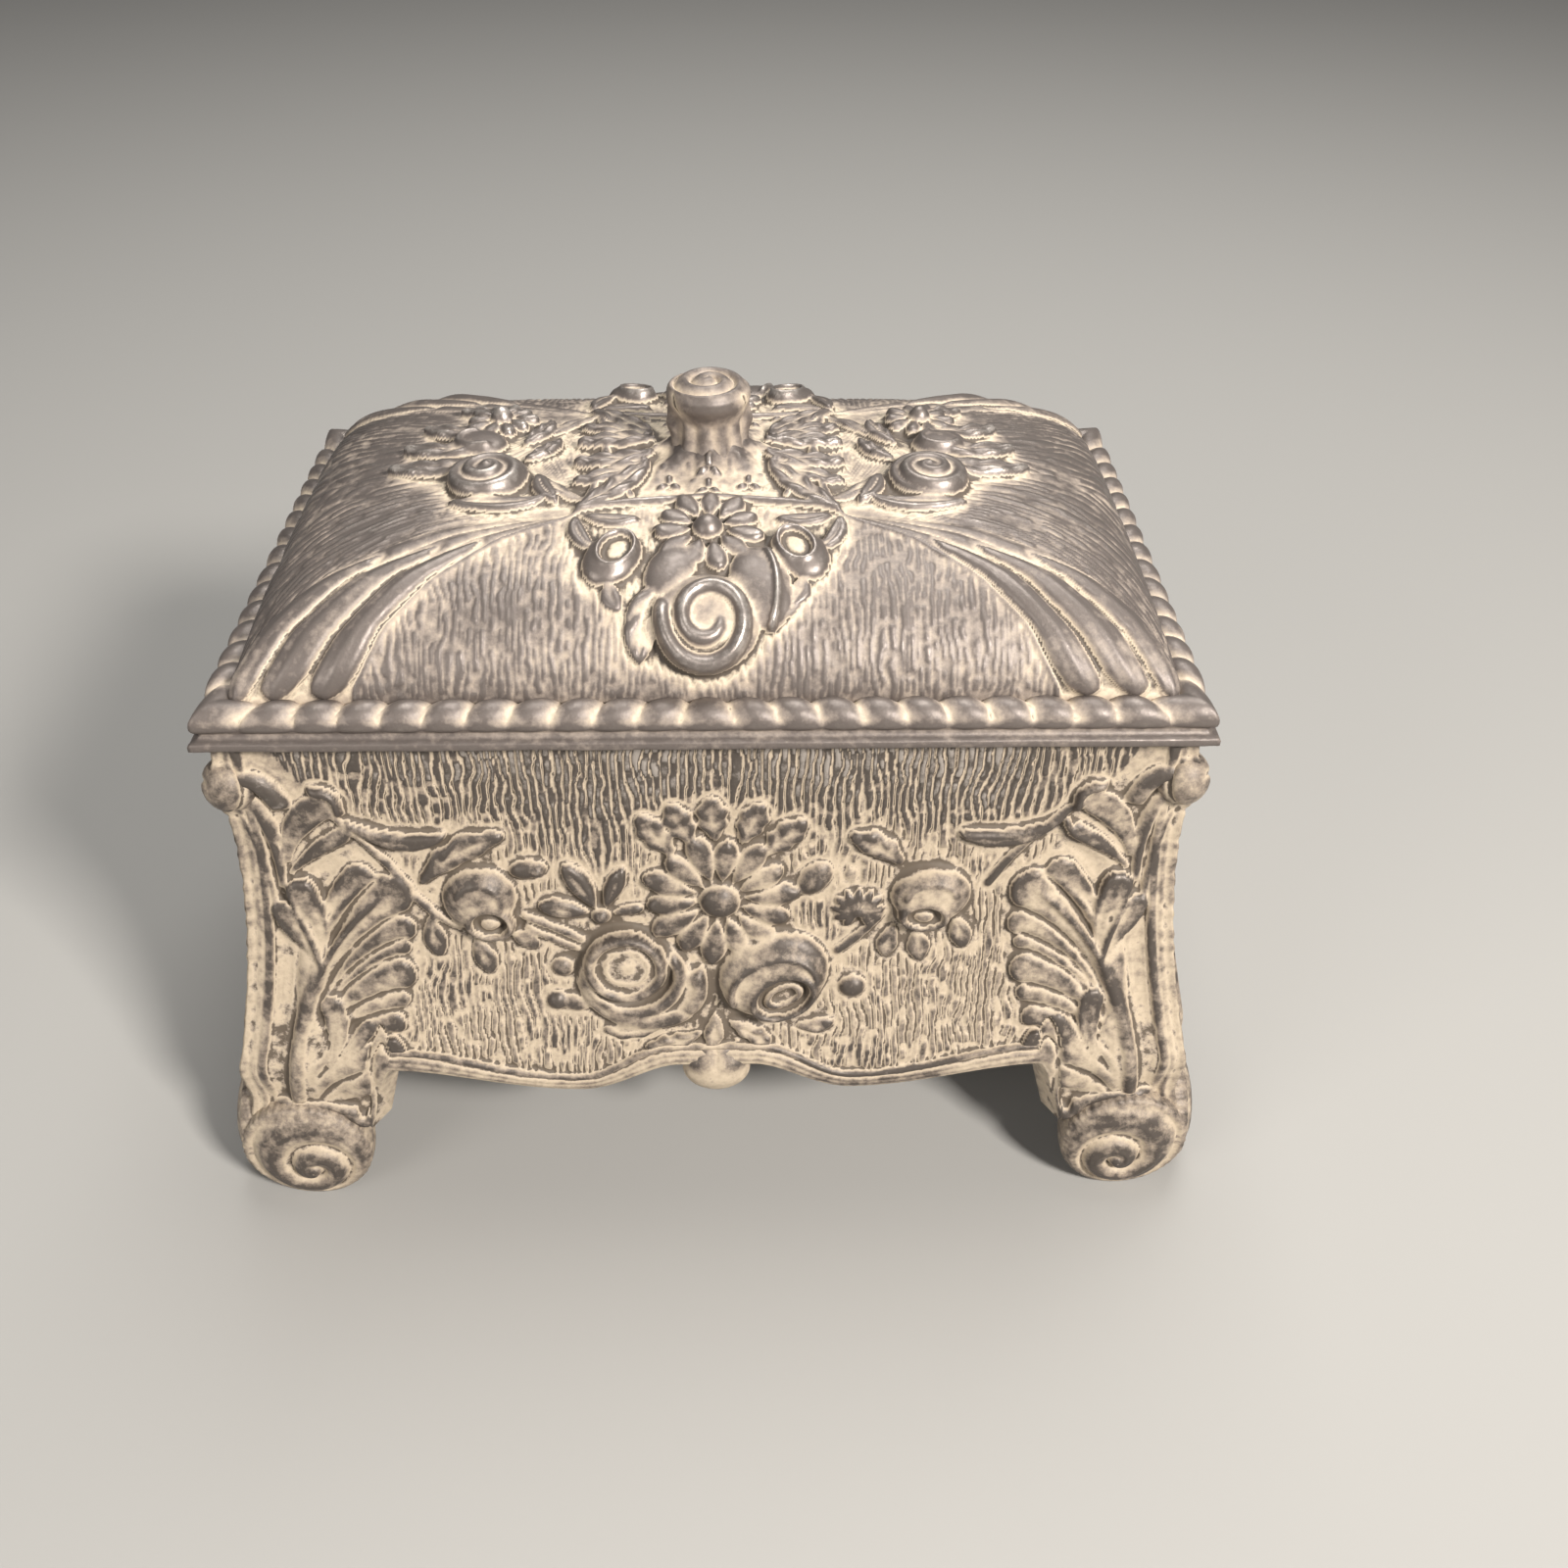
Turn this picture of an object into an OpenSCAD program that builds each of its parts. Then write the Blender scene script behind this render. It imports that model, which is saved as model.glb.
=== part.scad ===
// Cast-metal trinket casket: four cast wall panels with scroll feet, mitred and
// soldered at the corners, a domed cast lid with a rosebud knob, a pin hinge along
// the back edge, and a silk lining over card. The front faces -Y, the origin is the
// middle of the footprint on the table, and the lid is closed.

/* [Overall] */
// Width of the lid over its rim, left to right
lid_w = 102; // [84:1:126]
// Depth of the lid over its rim, front to back
lid_d = 65; // [53:1:80]
// Height of the walls, from the table to their top edge
wall_top = 62.7; // [52:0.1:76]

/* [Walls] */
// Thickness of each cast wall
wall_t = 2.2; // [1.6:0.1:2.8]
// How far the walls stand in from the lid's edge at the top
top_inset = 1.8; // [1.2:0.1:2.6]
// Height of the straight band below the top edge
straight_h = 11; // [8:0.5:14]
// How far the concave walls swing out from the straight band to the feet
flare = 7; // [4:0.1:8]
// Height of the apron's lowest points above the table
apron_low = 16; // [13:0.5:18]
// How far the apron rises from its lowest points
apron_rise = 3.8; // [2:0.1:4.2]

/* [Feet] */
// Radius of the scroll that each wall ends in
volute_r = 7.5; // [6:0.1:8.5]
// How far the scroll faces stand out past the lid's edge
foot_out = 6.2; // [6:0.1:8]
// Depth of the flat ground under each scroll
foot_flat = 0.15; // [0.1:0.05:0.4]
// Radius of the ear scroll at each top corner
ear_r = 2.4; // [1.8:0.1:3]

/* [Lid] */
// Clearance between the closed lid and the walls
lid_gap = 0.3; // [0.2:0.05:0.6]
// Height of the lid's rim, from its underside to the dome's foot
rim_h = 3; // [2.4:0.1:4]
// Width of the rim, from its outer edge to the lining's recess
rim_w = 5.4; // [4.6:0.1:7]
// Radius of the bead moulding round the rim
bead_r = 2; // [1.4:0.1:2.4]
// Height of the dome above the rim
dome_h = 12.3; // [8:0.1:18]
// How square the dome is from left to right, 2 for a round arch
dome_square_x = 5; // [2:0.5:8]
// How square the dome is from front to back, 2 for a round arch
dome_square_y = 3; // [2:0.5:8]
// Thickness of the dome's shell
dome_t = 2; // [1.4:0.1:2.4]

/* [Knob] */
// Radius of the rosebud
bud_r = 4.6; // [3.5:0.1:6]
// Height of the knob above its seat
knob_h = 7.5; // [6:0.1:10]
// Radius of the tenon under the knob
tenon_r = 1.45; // [1:0.05:2]

/* [Hinge] */
// Length of the hinge
hinge_l = 30; // [20:1:44]
// Number of knuckles, odd, so the box holds both ends
knuckles = 5; // [3:2:7]
// Outer radius of the knuckles
knuckle_r = 1.7; // [1.5:0.05:2]
// Radius of the hinge pin
pin_r = 0.75; // [0.6:0.05:0.9]
// Thickness of the hinge leaves
leaf_t = 0.5; // [0.4:0.1:0.6]

/* [Floor] */
// Thickness of the metal bottom plate
plate_t = 1.2; // [0.8:0.1:2]
// Width of the ledge that the bottom plate rests on
ledge_w = 2; // [1.5:0.1:3]
// Thickness of the lining cards
card_t = 1.2; // [0.8:0.1:1.6]

/* [Lining] */
// Thickness of the padded silk on the walls
pad_t = 2; // [1.5:0.1:3]
// Thickness of the padded silk on the floor
floor_pad_t = 3.2; // [2:0.1:5]
// Radius of the twisted cord round the linings
cord_r = 0.7; // [0.5:0.05:0.9]

/* [Hidden] */

METAL = "#8c8472";
DARK_METAL = "#6f6a66";
BRASS = "#9a8250";
SILK = "#c9a893";
CARD = "#b9ab8e";
CORD = "#b8926f";

// Clearances
fit = 0.2;               // between a lining piece and the metal it is glued to
seat_gap = 0.1;          // between a trim cord and what it lies on
running_fit = 0.05;      // radial, between the hinge pin and its bores
knuckle_gap = 0.3;       // between neighbouring knuckles, and leaf to knuckle

// Heights
lid_base = wall_top + lid_gap;
dome_base = lid_base + rim_h;
dome_top = dome_base + dome_h;
knob_seat = dome_top + 0.5;
volute_z = volute_r - foot_flat;
straight_z = wall_top - straight_h;
flare_end = volute_z + 5;
ledge_top = apron_low + apron_rise + 2;
plate_top = ledge_top + plate_t;
floor_top = plate_top + card_t;
lining_top = wall_top - 2 * cord_r - 4 * seat_gap;

// Outward swing of a wall's outer face from the lid's edge, at height z
function swing(z) =
    z >= straight_z ? -top_inset
    : -top_inset + flare * pow((straight_z - max(z, flare_end)) / (straight_z - flare_end), 1.7);

// Distance from the middle to a wall's inner face at height z, for a lid size
function inner_half(size, z) = size / 2 + swing(z) - wall_t;

// Half sizes that the floor and linings share
plate_hw = inner_half(lid_w, plate_top) - fit;
plate_hd = inner_half(lid_d, plate_top) - fit;
card_hw = inner_half(lid_w, floor_top) - 2 * fit;
card_hd = inner_half(lid_d, floor_top) - 2 * fit;
lining_hw = inner_half(lid_w, wall_top) - fit;
lining_hd = inner_half(lid_d, wall_top) - fit;
recess_hw = lid_w / 2 - rim_w;
recess_hd = lid_d / 2 - rim_w;

// Hinge axis, along X
hinge_y = lid_d / 2 + leaf_t + knuckle_gap + knuckle_r + 0.2;
hinge_z = wall_top + lid_gap / 2;
knuckle_l = (hinge_l - (knuckles - 1) * knuckle_gap) / knuckles;
hinge_arm_t = 1.4;
box_leaf_y = lid_d / 2 - top_inset;

// Height of the apron's edge at distance x from the middle: an S-curve that falls
// from the legs to the lowest points and rises again to the drop in the middle
function apron_z(x, leg) =
    let (low = 0.41 * leg, drop = 0.11 * leg, a = abs(x))
    a >= low
    ? apron_low + apron_rise * (1 - cos(180 * (a - low) / (leg - low))) / 2
    : apron_low + (apron_rise + 0.2) * (1 + cos(180 * max(a - drop, 0) / (low - drop))) / 2;

// ---------- Wall panels. Each is built facing -Y, w wide, at depth d / 2 ----------

// Everything between the two 45 degree mitre planes, above the table
module mitre_block(w, d) {
    out = foot_out + 2;
    in = min(w, d) / 2 - 8;
    linear_extrude(wall_top)
        polygon([
            [-w / 2 - out, -d / 2 - out], [w / 2 + out, -d / 2 - out],
            [w / 2 - in, -d / 2 + in], [-w / 2 + in, -d / 2 + in]
        ]);
}

// The plate itself, straight at the top and swinging out below, cut to the apron
module wall_plate(w, d) {
    steps = 12;
    heights = concat([wall_top], [for (i = [0:steps]) straight_z + (volute_z - straight_z) * i / steps]);
    outer = [for (z = heights) [-d / 2 - swing(z), z]];
    inner = [for (i = [len(heights) - 1:-1:0]) [-inner_half(d, heights[i]), heights[i]]];
    difference() {
        rotate([90, 0, 90])
            linear_extrude(w + 2 * foot_out, center = true)
                polygon(concat(outer, inner));
        apron_cut(w, d);
    }
}

// The opening below the apron, between the two legs
module apron_cut(w, d) {
    leg = leg_inner(w);
    steps = 36;
    edge = [for (i = [0:steps]) let (x = -leg + 2 * leg * i / steps) [x, apron_z(x, leg)]];
    translate([0, -d / 2 + 20, 0])
        rotate([90, 0, 0])
            linear_extrude(40)
                polygon(concat(edge, [[leg, -1], [-leg, -1]]));
}

// Distance from the panel's middle to the scroll's centre, and to the leg's inner edge
function volute_x(w) = w / 2 + foot_out - 1 - volute_r;
function leg_inner(w) = volute_x(w) - volute_r - 0.6;

// A scroll foot: three stepped discs, thickest at the eye
module volute(depth) {
    rotate([90, 0, 0]) {
        cylinder(h = depth - 0.9, r = volute_r, $fn = 64);
        translate([0.4, 0.6, 0])
            cylinder(h = depth - 0.4, r = volute_r * 0.66, $fn = 48);
        translate([0.8, 1, 0])
            cylinder(h = depth, r = volute_r * 0.33, $fn = 40);
    }
}

// The small scroll that stands out at a top corner
module ear(depth) {
    rotate([90, 0, 0])
        cylinder(h = depth, r = ear_r, $fn = 40);
}

// The ledge inside the wall that carries the bottom plate
module ledge(w, d) {
    half = (d == lid_d ? plate_hd : plate_hw);
    translate([-w / 2, -half - wall_t * 0.6, ledge_top - 1.2])
        cube([w, ledge_w + wall_t * 0.6, 1.2]);
}

// The ball that hangs in the middle of the apron
module apron_drop(d) {
    ball_z = apron_low + 2.6;
    translate([0, -d / 2 - swing(ball_z) + 0.6, ball_z])
        sphere(r = 2.8, $fn = 40);
}

module panel(w, d) {
    foot_depth = 10;
    intersection() {
        mitre_block(w, d);
        union() {
            wall_plate(w, d);
            ledge(w, d);
            apron_drop(d);
            for (side = [0, 1])
                mirror([side, 0, 0]) {
                    translate([volute_x(w), -d / 2 - foot_out + foot_depth, volute_z])
                        volute(foot_depth);
                    translate([w / 2 - ear_r, -d / 2 + 3, wall_top - 5.3])
                        ear(2.9);
                }
        }
    }
}

module front_wall() {
    color(METAL) panel(lid_w, lid_d);
}

module back_wall() {
    color(METAL) rotate([0, 0, 180]) panel(lid_w, lid_d);
}

module left_wall() {
    color(METAL) rotate([0, 0, -90]) panel(lid_d, lid_w);
}

module right_wall() {
    color(METAL) rotate([0, 0, 90]) panel(lid_d, lid_w);
}

// ---------- Floor and linings ----------

// A flat slab centred on the Z axis, from height z0 to z1
module slab(half_w, half_d, z0, z1) {
    translate([-half_w, -half_d, z0])
        cube([2 * half_w, 2 * half_d, z1 - z0]);
}

module bottom_plate() {
    color(DARK_METAL) slab(plate_hw, plate_hd, ledge_top, plate_top);
}

module floor_card() {
    color(CARD) slab(card_hw, card_hd, plate_top, floor_top);
}

module floor_pad() {
    gap = 2 * fit;
    color(SILK)
        slab(lining_hw - pad_t - gap, lining_hd - pad_t - gap, floor_top + seat_gap, floor_top + floor_pad_t);
}

// A padded lining that stands on the floor card against a long wall
module long_lining() {
    translate([-lining_hw, -lining_hd, floor_top + seat_gap])
        cube([2 * lining_hw, pad_t, lining_top - floor_top - seat_gap]);
}

// A padded lining that stands between the two long ones
module short_lining() {
    run = lining_hd - pad_t - fit;
    translate([-lining_hw, -run, floor_top + seat_gap])
        cube([pad_t, 2 * run, lining_top - floor_top - seat_gap]);
}

module front_lining() {
    color(SILK) long_lining();
}

module back_lining() {
    color(SILK) rotate([0, 0, 180]) long_lining();
}

module left_lining() {
    color(SILK) short_lining();
}

module right_lining() {
    color(SILK) rotate([0, 0, 180]) short_lining();
}

// A cord laid round a rectangle, with a ball at each corner
module cord_loop(half_w, half_d, z) {
    translate([0, 0, z]) {
        for (side = [-1, 1]) {
            translate([-half_w, side * half_d, 0])
                rotate([0, 90, 0])
                    cylinder(h = 2 * half_w, r = cord_r, $fn = 24);
            translate([side * half_w, half_d, 0])
                rotate([90, 0, 0])
                    cylinder(h = 2 * half_d, r = cord_r, $fn = 24);
            for (end = [-1, 1])
                translate([side * half_w, end * half_d, 0])
                    sphere(r = cord_r, $fn = 24);
        }
    }
}

module box_cord() {
    edge = cord_r + seat_gap - fit;
    color(CORD)
        cord_loop(lining_hw - edge, lining_hd - edge, lining_top + seat_gap + cord_r);
}

// ---------- Lid ----------

// Height of the dome's surface over its foot, as a share of its full height
function pillow(u, v) =
    sqrt(max(1 - pow(abs(u), dome_square_x), 0) * max(1 - pow(abs(v), dome_square_y), 0));

// Grid points of one skin of the dome, from -1 to 1 both ways, closer near the edges
function skin(half_w, half_d, h, nu, nv) = [
    for (j = [0:nv], i = [0:nu])
        let (u = sin(90 * (2 * i / nu - 1)), v = sin(90 * (2 * j / nv - 1)))
            [half_w * u, half_d * v, dome_base + h * pillow(u, v)]
];

// The hollow dome: an outer skin, an inner skin and a flat foot that joins them
module dome() {
    nu = 24;
    nv = 16;
    row = nu + 1;
    count = row * (nv + 1);
    outer_w = recess_hw + dome_t;
    outer_d = recess_hd + dome_t;
    points = concat(
        skin(outer_w, outer_d, dome_h, nu, nv),
        skin(recess_hw, recess_hd, dome_h - dome_t, nu, nv)
    );
    cells = [for (j = [0:nv - 1], i = [0:nu - 1]) j * row + i];
    top = [for (k = cells) each [[k, k + row, k + row + 1], [k, k + row + 1, k + 1]]];
    under = [for (t = top) [t[0] + count, t[2] + count, t[1] + count]];
    rim = concat(
        [for (i = [0:nu - 1]) i],
        [for (j = [0:nv - 1]) j * row + nu],
        [for (i = [nu:-1:1]) nv * row + i],
        [for (j = [nv:-1:1]) j * row]
    );
    foot = [
        for (k = [0:len(rim) - 1])
            let (a = rim[k], b = rim[(k + 1) % len(rim)])
                each [[a, b, b + count], [a, b + count, a + count]]
    ];
    polyhedron(points, concat(top, under, [for (t = foot) [t[0], t[2], t[1]]]));
}

// The flat frame round the dome, from the lid's underside to the dome's foot
module rim_frame() {
    lip = 0.6;
    difference() {
        translate([0, 0, lid_base]) {
            linear_extrude(rim_h - 1)
                square([lid_w, lid_d], center = true);
            linear_extrude(rim_h)
                square([lid_w - 2 * bead_r - lip, lid_d - 2 * bead_r - lip], center = true);
        }
        slab(recess_hw, recess_hd, lid_base - 1, dome_base + 1);
    }
}

// The bead moulding that runs along all four edges of the rim
module bead_moulding() {
    half_w = lid_w / 2 - bead_r;
    half_d = lid_d / 2 - bead_r;
    translate([0, 0, lid_base + rim_h - 0.9])
        for (side = [-1, 1]) {
            translate([-half_w, side * half_d, 0])
                rotate([0, 90, 0])
                    cylinder(h = 2 * half_w, r = bead_r, $fn = 40);
            translate([side * half_w, half_d, 0])
                rotate([90, 0, 0])
                    cylinder(h = 2 * half_d, r = bead_r, $fn = 40);
            for (end = [-1, 1])
                translate([side * half_w, end * half_d, 0])
                    sphere(r = bead_r, $fn = 40);
        }
}

module lid_shell() {
    boss_r = bud_r + 2.2;
    color(DARK_METAL)
        difference() {
            union() {
                rim_frame();
                bead_moulding();
                dome();
                translate([0, 0, dome_top - dome_t - 1])
                    cylinder(h = knob_seat - dome_top + dome_t + 1, r = boss_r, $fn = 64);
            }
            translate([0, 0, dome_top - dome_t - 2])
                cylinder(h = dome_t + 4, r = tenon_r + running_fit, $fn = 32);
        }
}

// The rosebud: a flared neck, a cup and a low crown, with a tenon below
module knob() {
    neck_r = bud_r - 0.9;
    color(DARK_METAL)
        translate([0, 0, knob_seat]) {
            rotate_extrude($fn = 64)
                polygon([
                    [0, 0], [bud_r + 1.6, 0], [bud_r + 1.6, 0.4], [bud_r - 0.2, 1.6],
                    [neck_r, knob_h * 0.42], [neck_r + 0.1, knob_h * 0.55], [bud_r, knob_h * 0.72],
                    [bud_r, knob_h * 0.86], [bud_r - 0.8, knob_h * 0.96], [bud_r - 2.2, knob_h], [0, knob_h]
                ]);
            translate([0, 0, -dome_t - 0.5])
                cylinder(h = dome_t + 1, r = tenon_r, $fn = 32);
        }
}

module lid_card() {
    top = dome_base - fit;
    color(CARD)
        slab(recess_hw - fit, recess_hd - fit, top - card_t, top);
}

module lid_pad() {
    top = dome_base - fit - card_t;
    edge = 2 * cord_r + 3 * seat_gap + fit;
    color(SILK)
        slab(recess_hw - edge, recess_hd - edge, lid_base + seat_gap, top - seat_gap);
}

module lid_cord() {
    edge = cord_r + 2 * seat_gap;
    color(CORD)
        cord_loop(recess_hw - edge, recess_hd - edge, dome_base - fit - card_t - seat_gap - cord_r);
}

// ---------- Hinge ----------

// The knuckles whose number is even (first = 0) or odd (first = 1), each on an arm
// that reaches from the leaf at arm_y, with its face at arm_z
module knuckle_row(first, arm_y, arm_z) {
    for (i = [first:2:knuckles - 1]) {
        x = -hinge_l / 2 + i * (knuckle_l + knuckle_gap);
        translate([x, hinge_y, hinge_z])
            rotate([0, 90, 0])
                cylinder(h = knuckle_l, r = knuckle_r, $fn = 48);
        translate([x, arm_y, arm_z])
            cube([knuckle_l, hinge_y - arm_y, hinge_arm_t]);
    }
}

// The bore that the pin runs in, through every knuckle
module pin_bore() {
    translate([-hinge_l, hinge_y, hinge_z])
        rotate([0, 90, 0])
            cylinder(h = 2 * hinge_l, r = pin_r + running_fit, $fn = 48);
}

module hinge_box_leaf() {
    leaf_h = 8;
    leaf_top = wall_top - 0.4;
    color(BRASS)
        difference() {
            union() {
                translate([-hinge_l / 2, box_leaf_y, leaf_top - leaf_h])
                    cube([hinge_l, leaf_t, leaf_h]);
                knuckle_row(0, box_leaf_y, leaf_top - hinge_arm_t);
            }
            pin_bore();
        }
}

module hinge_lid_leaf() {
    leaf_z = lid_base + 0.1;
    color(BRASS)
        difference() {
            union() {
                translate([-hinge_l / 2, lid_d / 2, leaf_z])
                    cube([hinge_l, leaf_t, rim_h - 1.2]);
                knuckle_row(1, lid_d / 2, leaf_z + 0.1);
            }
            pin_bore();
        }
}

// The hinge pin, riveted over at both ends
module hinge_pin() {
    head_t = 0.6;
    color(BRASS)
        translate([-hinge_l / 2 - head_t, hinge_y, hinge_z])
            rotate([0, 90, 0]) {
                cylinder(h = hinge_l + 2 * head_t, r = pin_r, $fn = 48);
                cylinder(h = head_t, r = pin_r + 0.4, $fn = 48);
                translate([0, 0, hinge_l + head_t])
                    cylinder(h = head_t, r = pin_r + 0.4, $fn = 48);
            }
}

front_wall();
back_wall();
left_wall();
right_wall();
bottom_plate();
hinge_box_leaf();
hinge_pin();
floor_card();
floor_pad();
front_lining();
back_lining();
left_lining();
right_lining();
box_cord();
lid_shell();
knob();
hinge_lid_leaf();
lid_card();
lid_pad();
lid_cord();
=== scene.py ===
"""Dressing-table trinket casket in cast, patinated spelter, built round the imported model."""
import math

import bmesh
import bpy
import numpy as np
from mathutils import Matrix, Vector


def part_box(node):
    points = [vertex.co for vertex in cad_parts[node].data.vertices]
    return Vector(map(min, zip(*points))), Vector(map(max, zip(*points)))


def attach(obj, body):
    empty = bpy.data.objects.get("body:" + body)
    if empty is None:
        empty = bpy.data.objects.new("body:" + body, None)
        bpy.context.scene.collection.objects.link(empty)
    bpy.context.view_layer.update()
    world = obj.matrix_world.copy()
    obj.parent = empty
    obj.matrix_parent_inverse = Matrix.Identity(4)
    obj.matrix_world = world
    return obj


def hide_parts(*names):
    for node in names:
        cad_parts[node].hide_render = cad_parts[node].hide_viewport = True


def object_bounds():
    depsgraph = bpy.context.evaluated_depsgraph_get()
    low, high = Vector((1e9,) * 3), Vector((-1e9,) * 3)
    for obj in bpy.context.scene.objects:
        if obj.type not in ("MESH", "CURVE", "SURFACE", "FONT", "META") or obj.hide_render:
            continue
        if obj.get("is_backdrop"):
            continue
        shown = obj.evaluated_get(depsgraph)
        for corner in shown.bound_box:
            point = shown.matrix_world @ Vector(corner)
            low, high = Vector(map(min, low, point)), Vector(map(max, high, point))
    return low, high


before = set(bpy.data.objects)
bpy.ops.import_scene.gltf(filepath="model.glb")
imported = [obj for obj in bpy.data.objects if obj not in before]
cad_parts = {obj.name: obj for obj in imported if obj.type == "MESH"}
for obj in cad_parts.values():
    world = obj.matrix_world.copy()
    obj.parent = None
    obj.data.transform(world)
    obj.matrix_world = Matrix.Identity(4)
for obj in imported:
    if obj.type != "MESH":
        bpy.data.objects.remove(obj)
cad_box = [list(corner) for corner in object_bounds()]

# ---------------------------------------------------------------------------------------
# Camera, floor and light. The camera stands close in front and looks down on the lid, as
# one does with a small box on a table. The floor is a pale plain sheet.
# ---------------------------------------------------------------------------------------
MM = 0.001


def linear(hex_colour):
    """sRGB hex to linear RGBA: each channel c becomes ((c + 0.055) / 1.055) ** 2.4."""
    channels = [int(hex_colour[i:i + 2], 16) / 255 for i in (1, 3, 5)]
    return (*[c / 12.92 if c <= 0.04045 else ((c + 0.055) / 1.055) ** 2.4 for c in channels], 1.0)


def new_material(name):
    """An empty node material; returns it with its tree and its Principled shader."""
    made = bpy.data.materials.new(name)
    made.use_nodes = True
    shader = made.node_tree.nodes["Principled BSDF"]
    return made, made.node_tree, shader


# where the eye is, and how far it is turned to the left, looks down and leans, in degrees
camera_at = Vector((4.1, -151.5, 153.8)) * MM
camera_turn, camera_down, camera_roll = (math.radians(a) for a in (1.66, 38.62, 0.64))
camera_data = bpy.data.cameras.new("camera")
camera_data.lens = 34.67
camera_data.sensor_width = 36
camera_data.clip_start = 0.01
camera = bpy.data.objects.new("camera", camera_data)
bpy.context.collection.objects.link(camera)
look = Matrix.Rotation(-camera_turn, 4, "Z") @ Matrix.Rotation(math.pi / 2 - camera_down, 4, "X")
camera.matrix_world = Matrix.Translation(camera_at) @ look @ Matrix.Rotation(camera_roll, 4, "Z")
bpy.context.scene.camera = camera

FLOOR_HALF = 1.6
floor_corners = [(x * FLOOR_HALF, y * FLOOR_HALF, 0) for x, y in ((-1, -1), (1, -1), (1, 1), (-1, 1))]
floor_mesh = bpy.data.meshes.new("floor")
floor_mesh.from_pydata(floor_corners, [], [(0, 1, 2, 3)])
floor = bpy.data.objects.new("floor", floor_mesh)
bpy.context.collection.objects.link(floor)
paper, _, paper_shader = new_material("pale matt paper")
paper_shader.inputs["Base Color"].default_value = linear("#9b9a98")
paper_shader.inputs["Roughness"].default_value = 0.85
floor_mesh.materials.append(paper)
floor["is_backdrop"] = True

world = bpy.data.worlds.new("studio")
world.use_nodes = True
world.node_tree.nodes["Background"].inputs["Color"].default_value = linear("#dcdde0")
world.node_tree.nodes["Background"].inputs["Strength"].default_value = 0.15
bpy.context.scene.world = world
bpy.context.scene.view_settings.view_transform = "Standard"

# Three soft boxes, all turned to the middle of the casket: name, place and size in metres,
# watts, colour.
LAMPS = (
    ("overhead", (0.06, 0.20, 0.62), 0.36, 3.2, "#fffdf8"),
    ("window", (0.36, -0.44, 0.46), 0.12, 8.6, "#fff9f1"),
    ("fill", (-0.48, -0.46, 0.34), 0.34, 1.9, "#fffaf3"),
)
aimed_at = Vector((0, 0, 0.04))
for name, place, size, watts, tint in LAMPS:
    lamp_data = bpy.data.lights.new(name, "AREA")
    lamp_data.size = size
    lamp_data.energy = watts
    lamp_data.color = linear(tint)[:3]
    lamp = bpy.data.objects.new(name, lamp_data)
    lamp.location = place
    lamp.rotation_euler = (aimed_at - Vector(place)).to_track_quat("-Z", "Y").to_euler()
    bpy.context.collection.objects.link(lamp)

# ---------------------------------------------------------------------------------------
# Wall panels: four relief castings in soft spelter, mitred and soldered at the corners, each
# with two legs of acanthus leaves. Flowers stand on a bark-like ground, and the whole was
# toned tan and then rubbed, so the high spots show dark metal. Sizes are in millimetres.
# ---------------------------------------------------------------------------------------
# the size of the lid's rim and the top of the walls, as packed, to a hundredth
lid_low, lid_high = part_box("lid_shell")
LID_W, LID_D = (round(float(high - low) / MM, 2) for low, high in zip(lid_low[:2], lid_high[:2]))
WALL_TOP = round(float(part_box("front_wall")[1][2]) / MM, 2)
WALL_T, TOP_INSET = 2.2, 1.8
VOLUTE_R, VOLUTE_Z = 7.5, 7.35
STRAIGHT_Z, FLARE_END, FLARE = WALL_TOP - 11.0, VOLUTE_Z + 5.0, 7.0
APRON_LOW, APRON_RISE = 16.0, 3.8
LEG_W = 13.0
ANKLE_Z, ANKLE_H, ANKLE_IN = 21.0, 8.0, 2.0
BARK_H = 0.32
# how far the solder bead reaches from a corner, and where it swells into the ear's root
SEAM_REACH, EAR_Z = 3.4, 57.3
# rows and columns of a panel's mesh, and how many times coarser its back is
PANEL_ROWS, LONG_COLUMNS, SHORT_COLUMNS, COARSE = 184, 512, 352, 8
# each panel's name, its width, the depth that it stands at, and its turn from the front
PANELS = (("front_wall", LID_W, LID_D, 0), ("back_wall", LID_W, LID_D, 180),
          ("left_wall", LID_D, LID_W, -90), ("right_wall", LID_D, LID_W, 90))


def smooth(x, low, high):
    """0 below low, 1 above high, and 3t^2 - 2t^3 between."""
    t = np.clip((x - low) / (high - low), 0, 1)
    return t * t * (3 - 2 * t)


def swing(z):
    """How far a wall stands out from the lid's edge at height z: level at the top, then a
    power curve outwards, drawn in again at the ankle."""
    drop = np.clip(STRAIGHT_Z - np.maximum(z, FLARE_END), 0, None) / (STRAIGHT_Z - FLARE_END)
    ankle = ANKLE_IN * smooth((ANKLE_Z - z) / ANKLE_H, 0, 1)
    return -TOP_INSET + FLARE * drop ** 1.7 - ankle


def cap(x):
    """A half-round profile: the square root of 1 - x^2, and 0 outside -1 to 1."""
    return np.sqrt(np.clip(1 - x * x, 0, None))


def field(u, v, seed):
    """Smooth random field: random values at whole u and v, eased between; from 0 to 1."""
    table = np.random.default_rng(seed).random((128, 128))
    iu, iv = np.floor(u).astype(int), np.floor(v).astype(int)
    fu, fv = smooth(u - iu, 0, 1), smooth(v - iv, 0, 1)
    corner = lambda a, b: table[(iu + a) & 127, (iv + b) & 127]
    return ((corner(0, 0) * (1 - fu) + corner(1, 0) * fu) * (1 - fv)
            + (corner(0, 1) * (1 - fu) + corner(1, 1) * fu) * fv)


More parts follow.
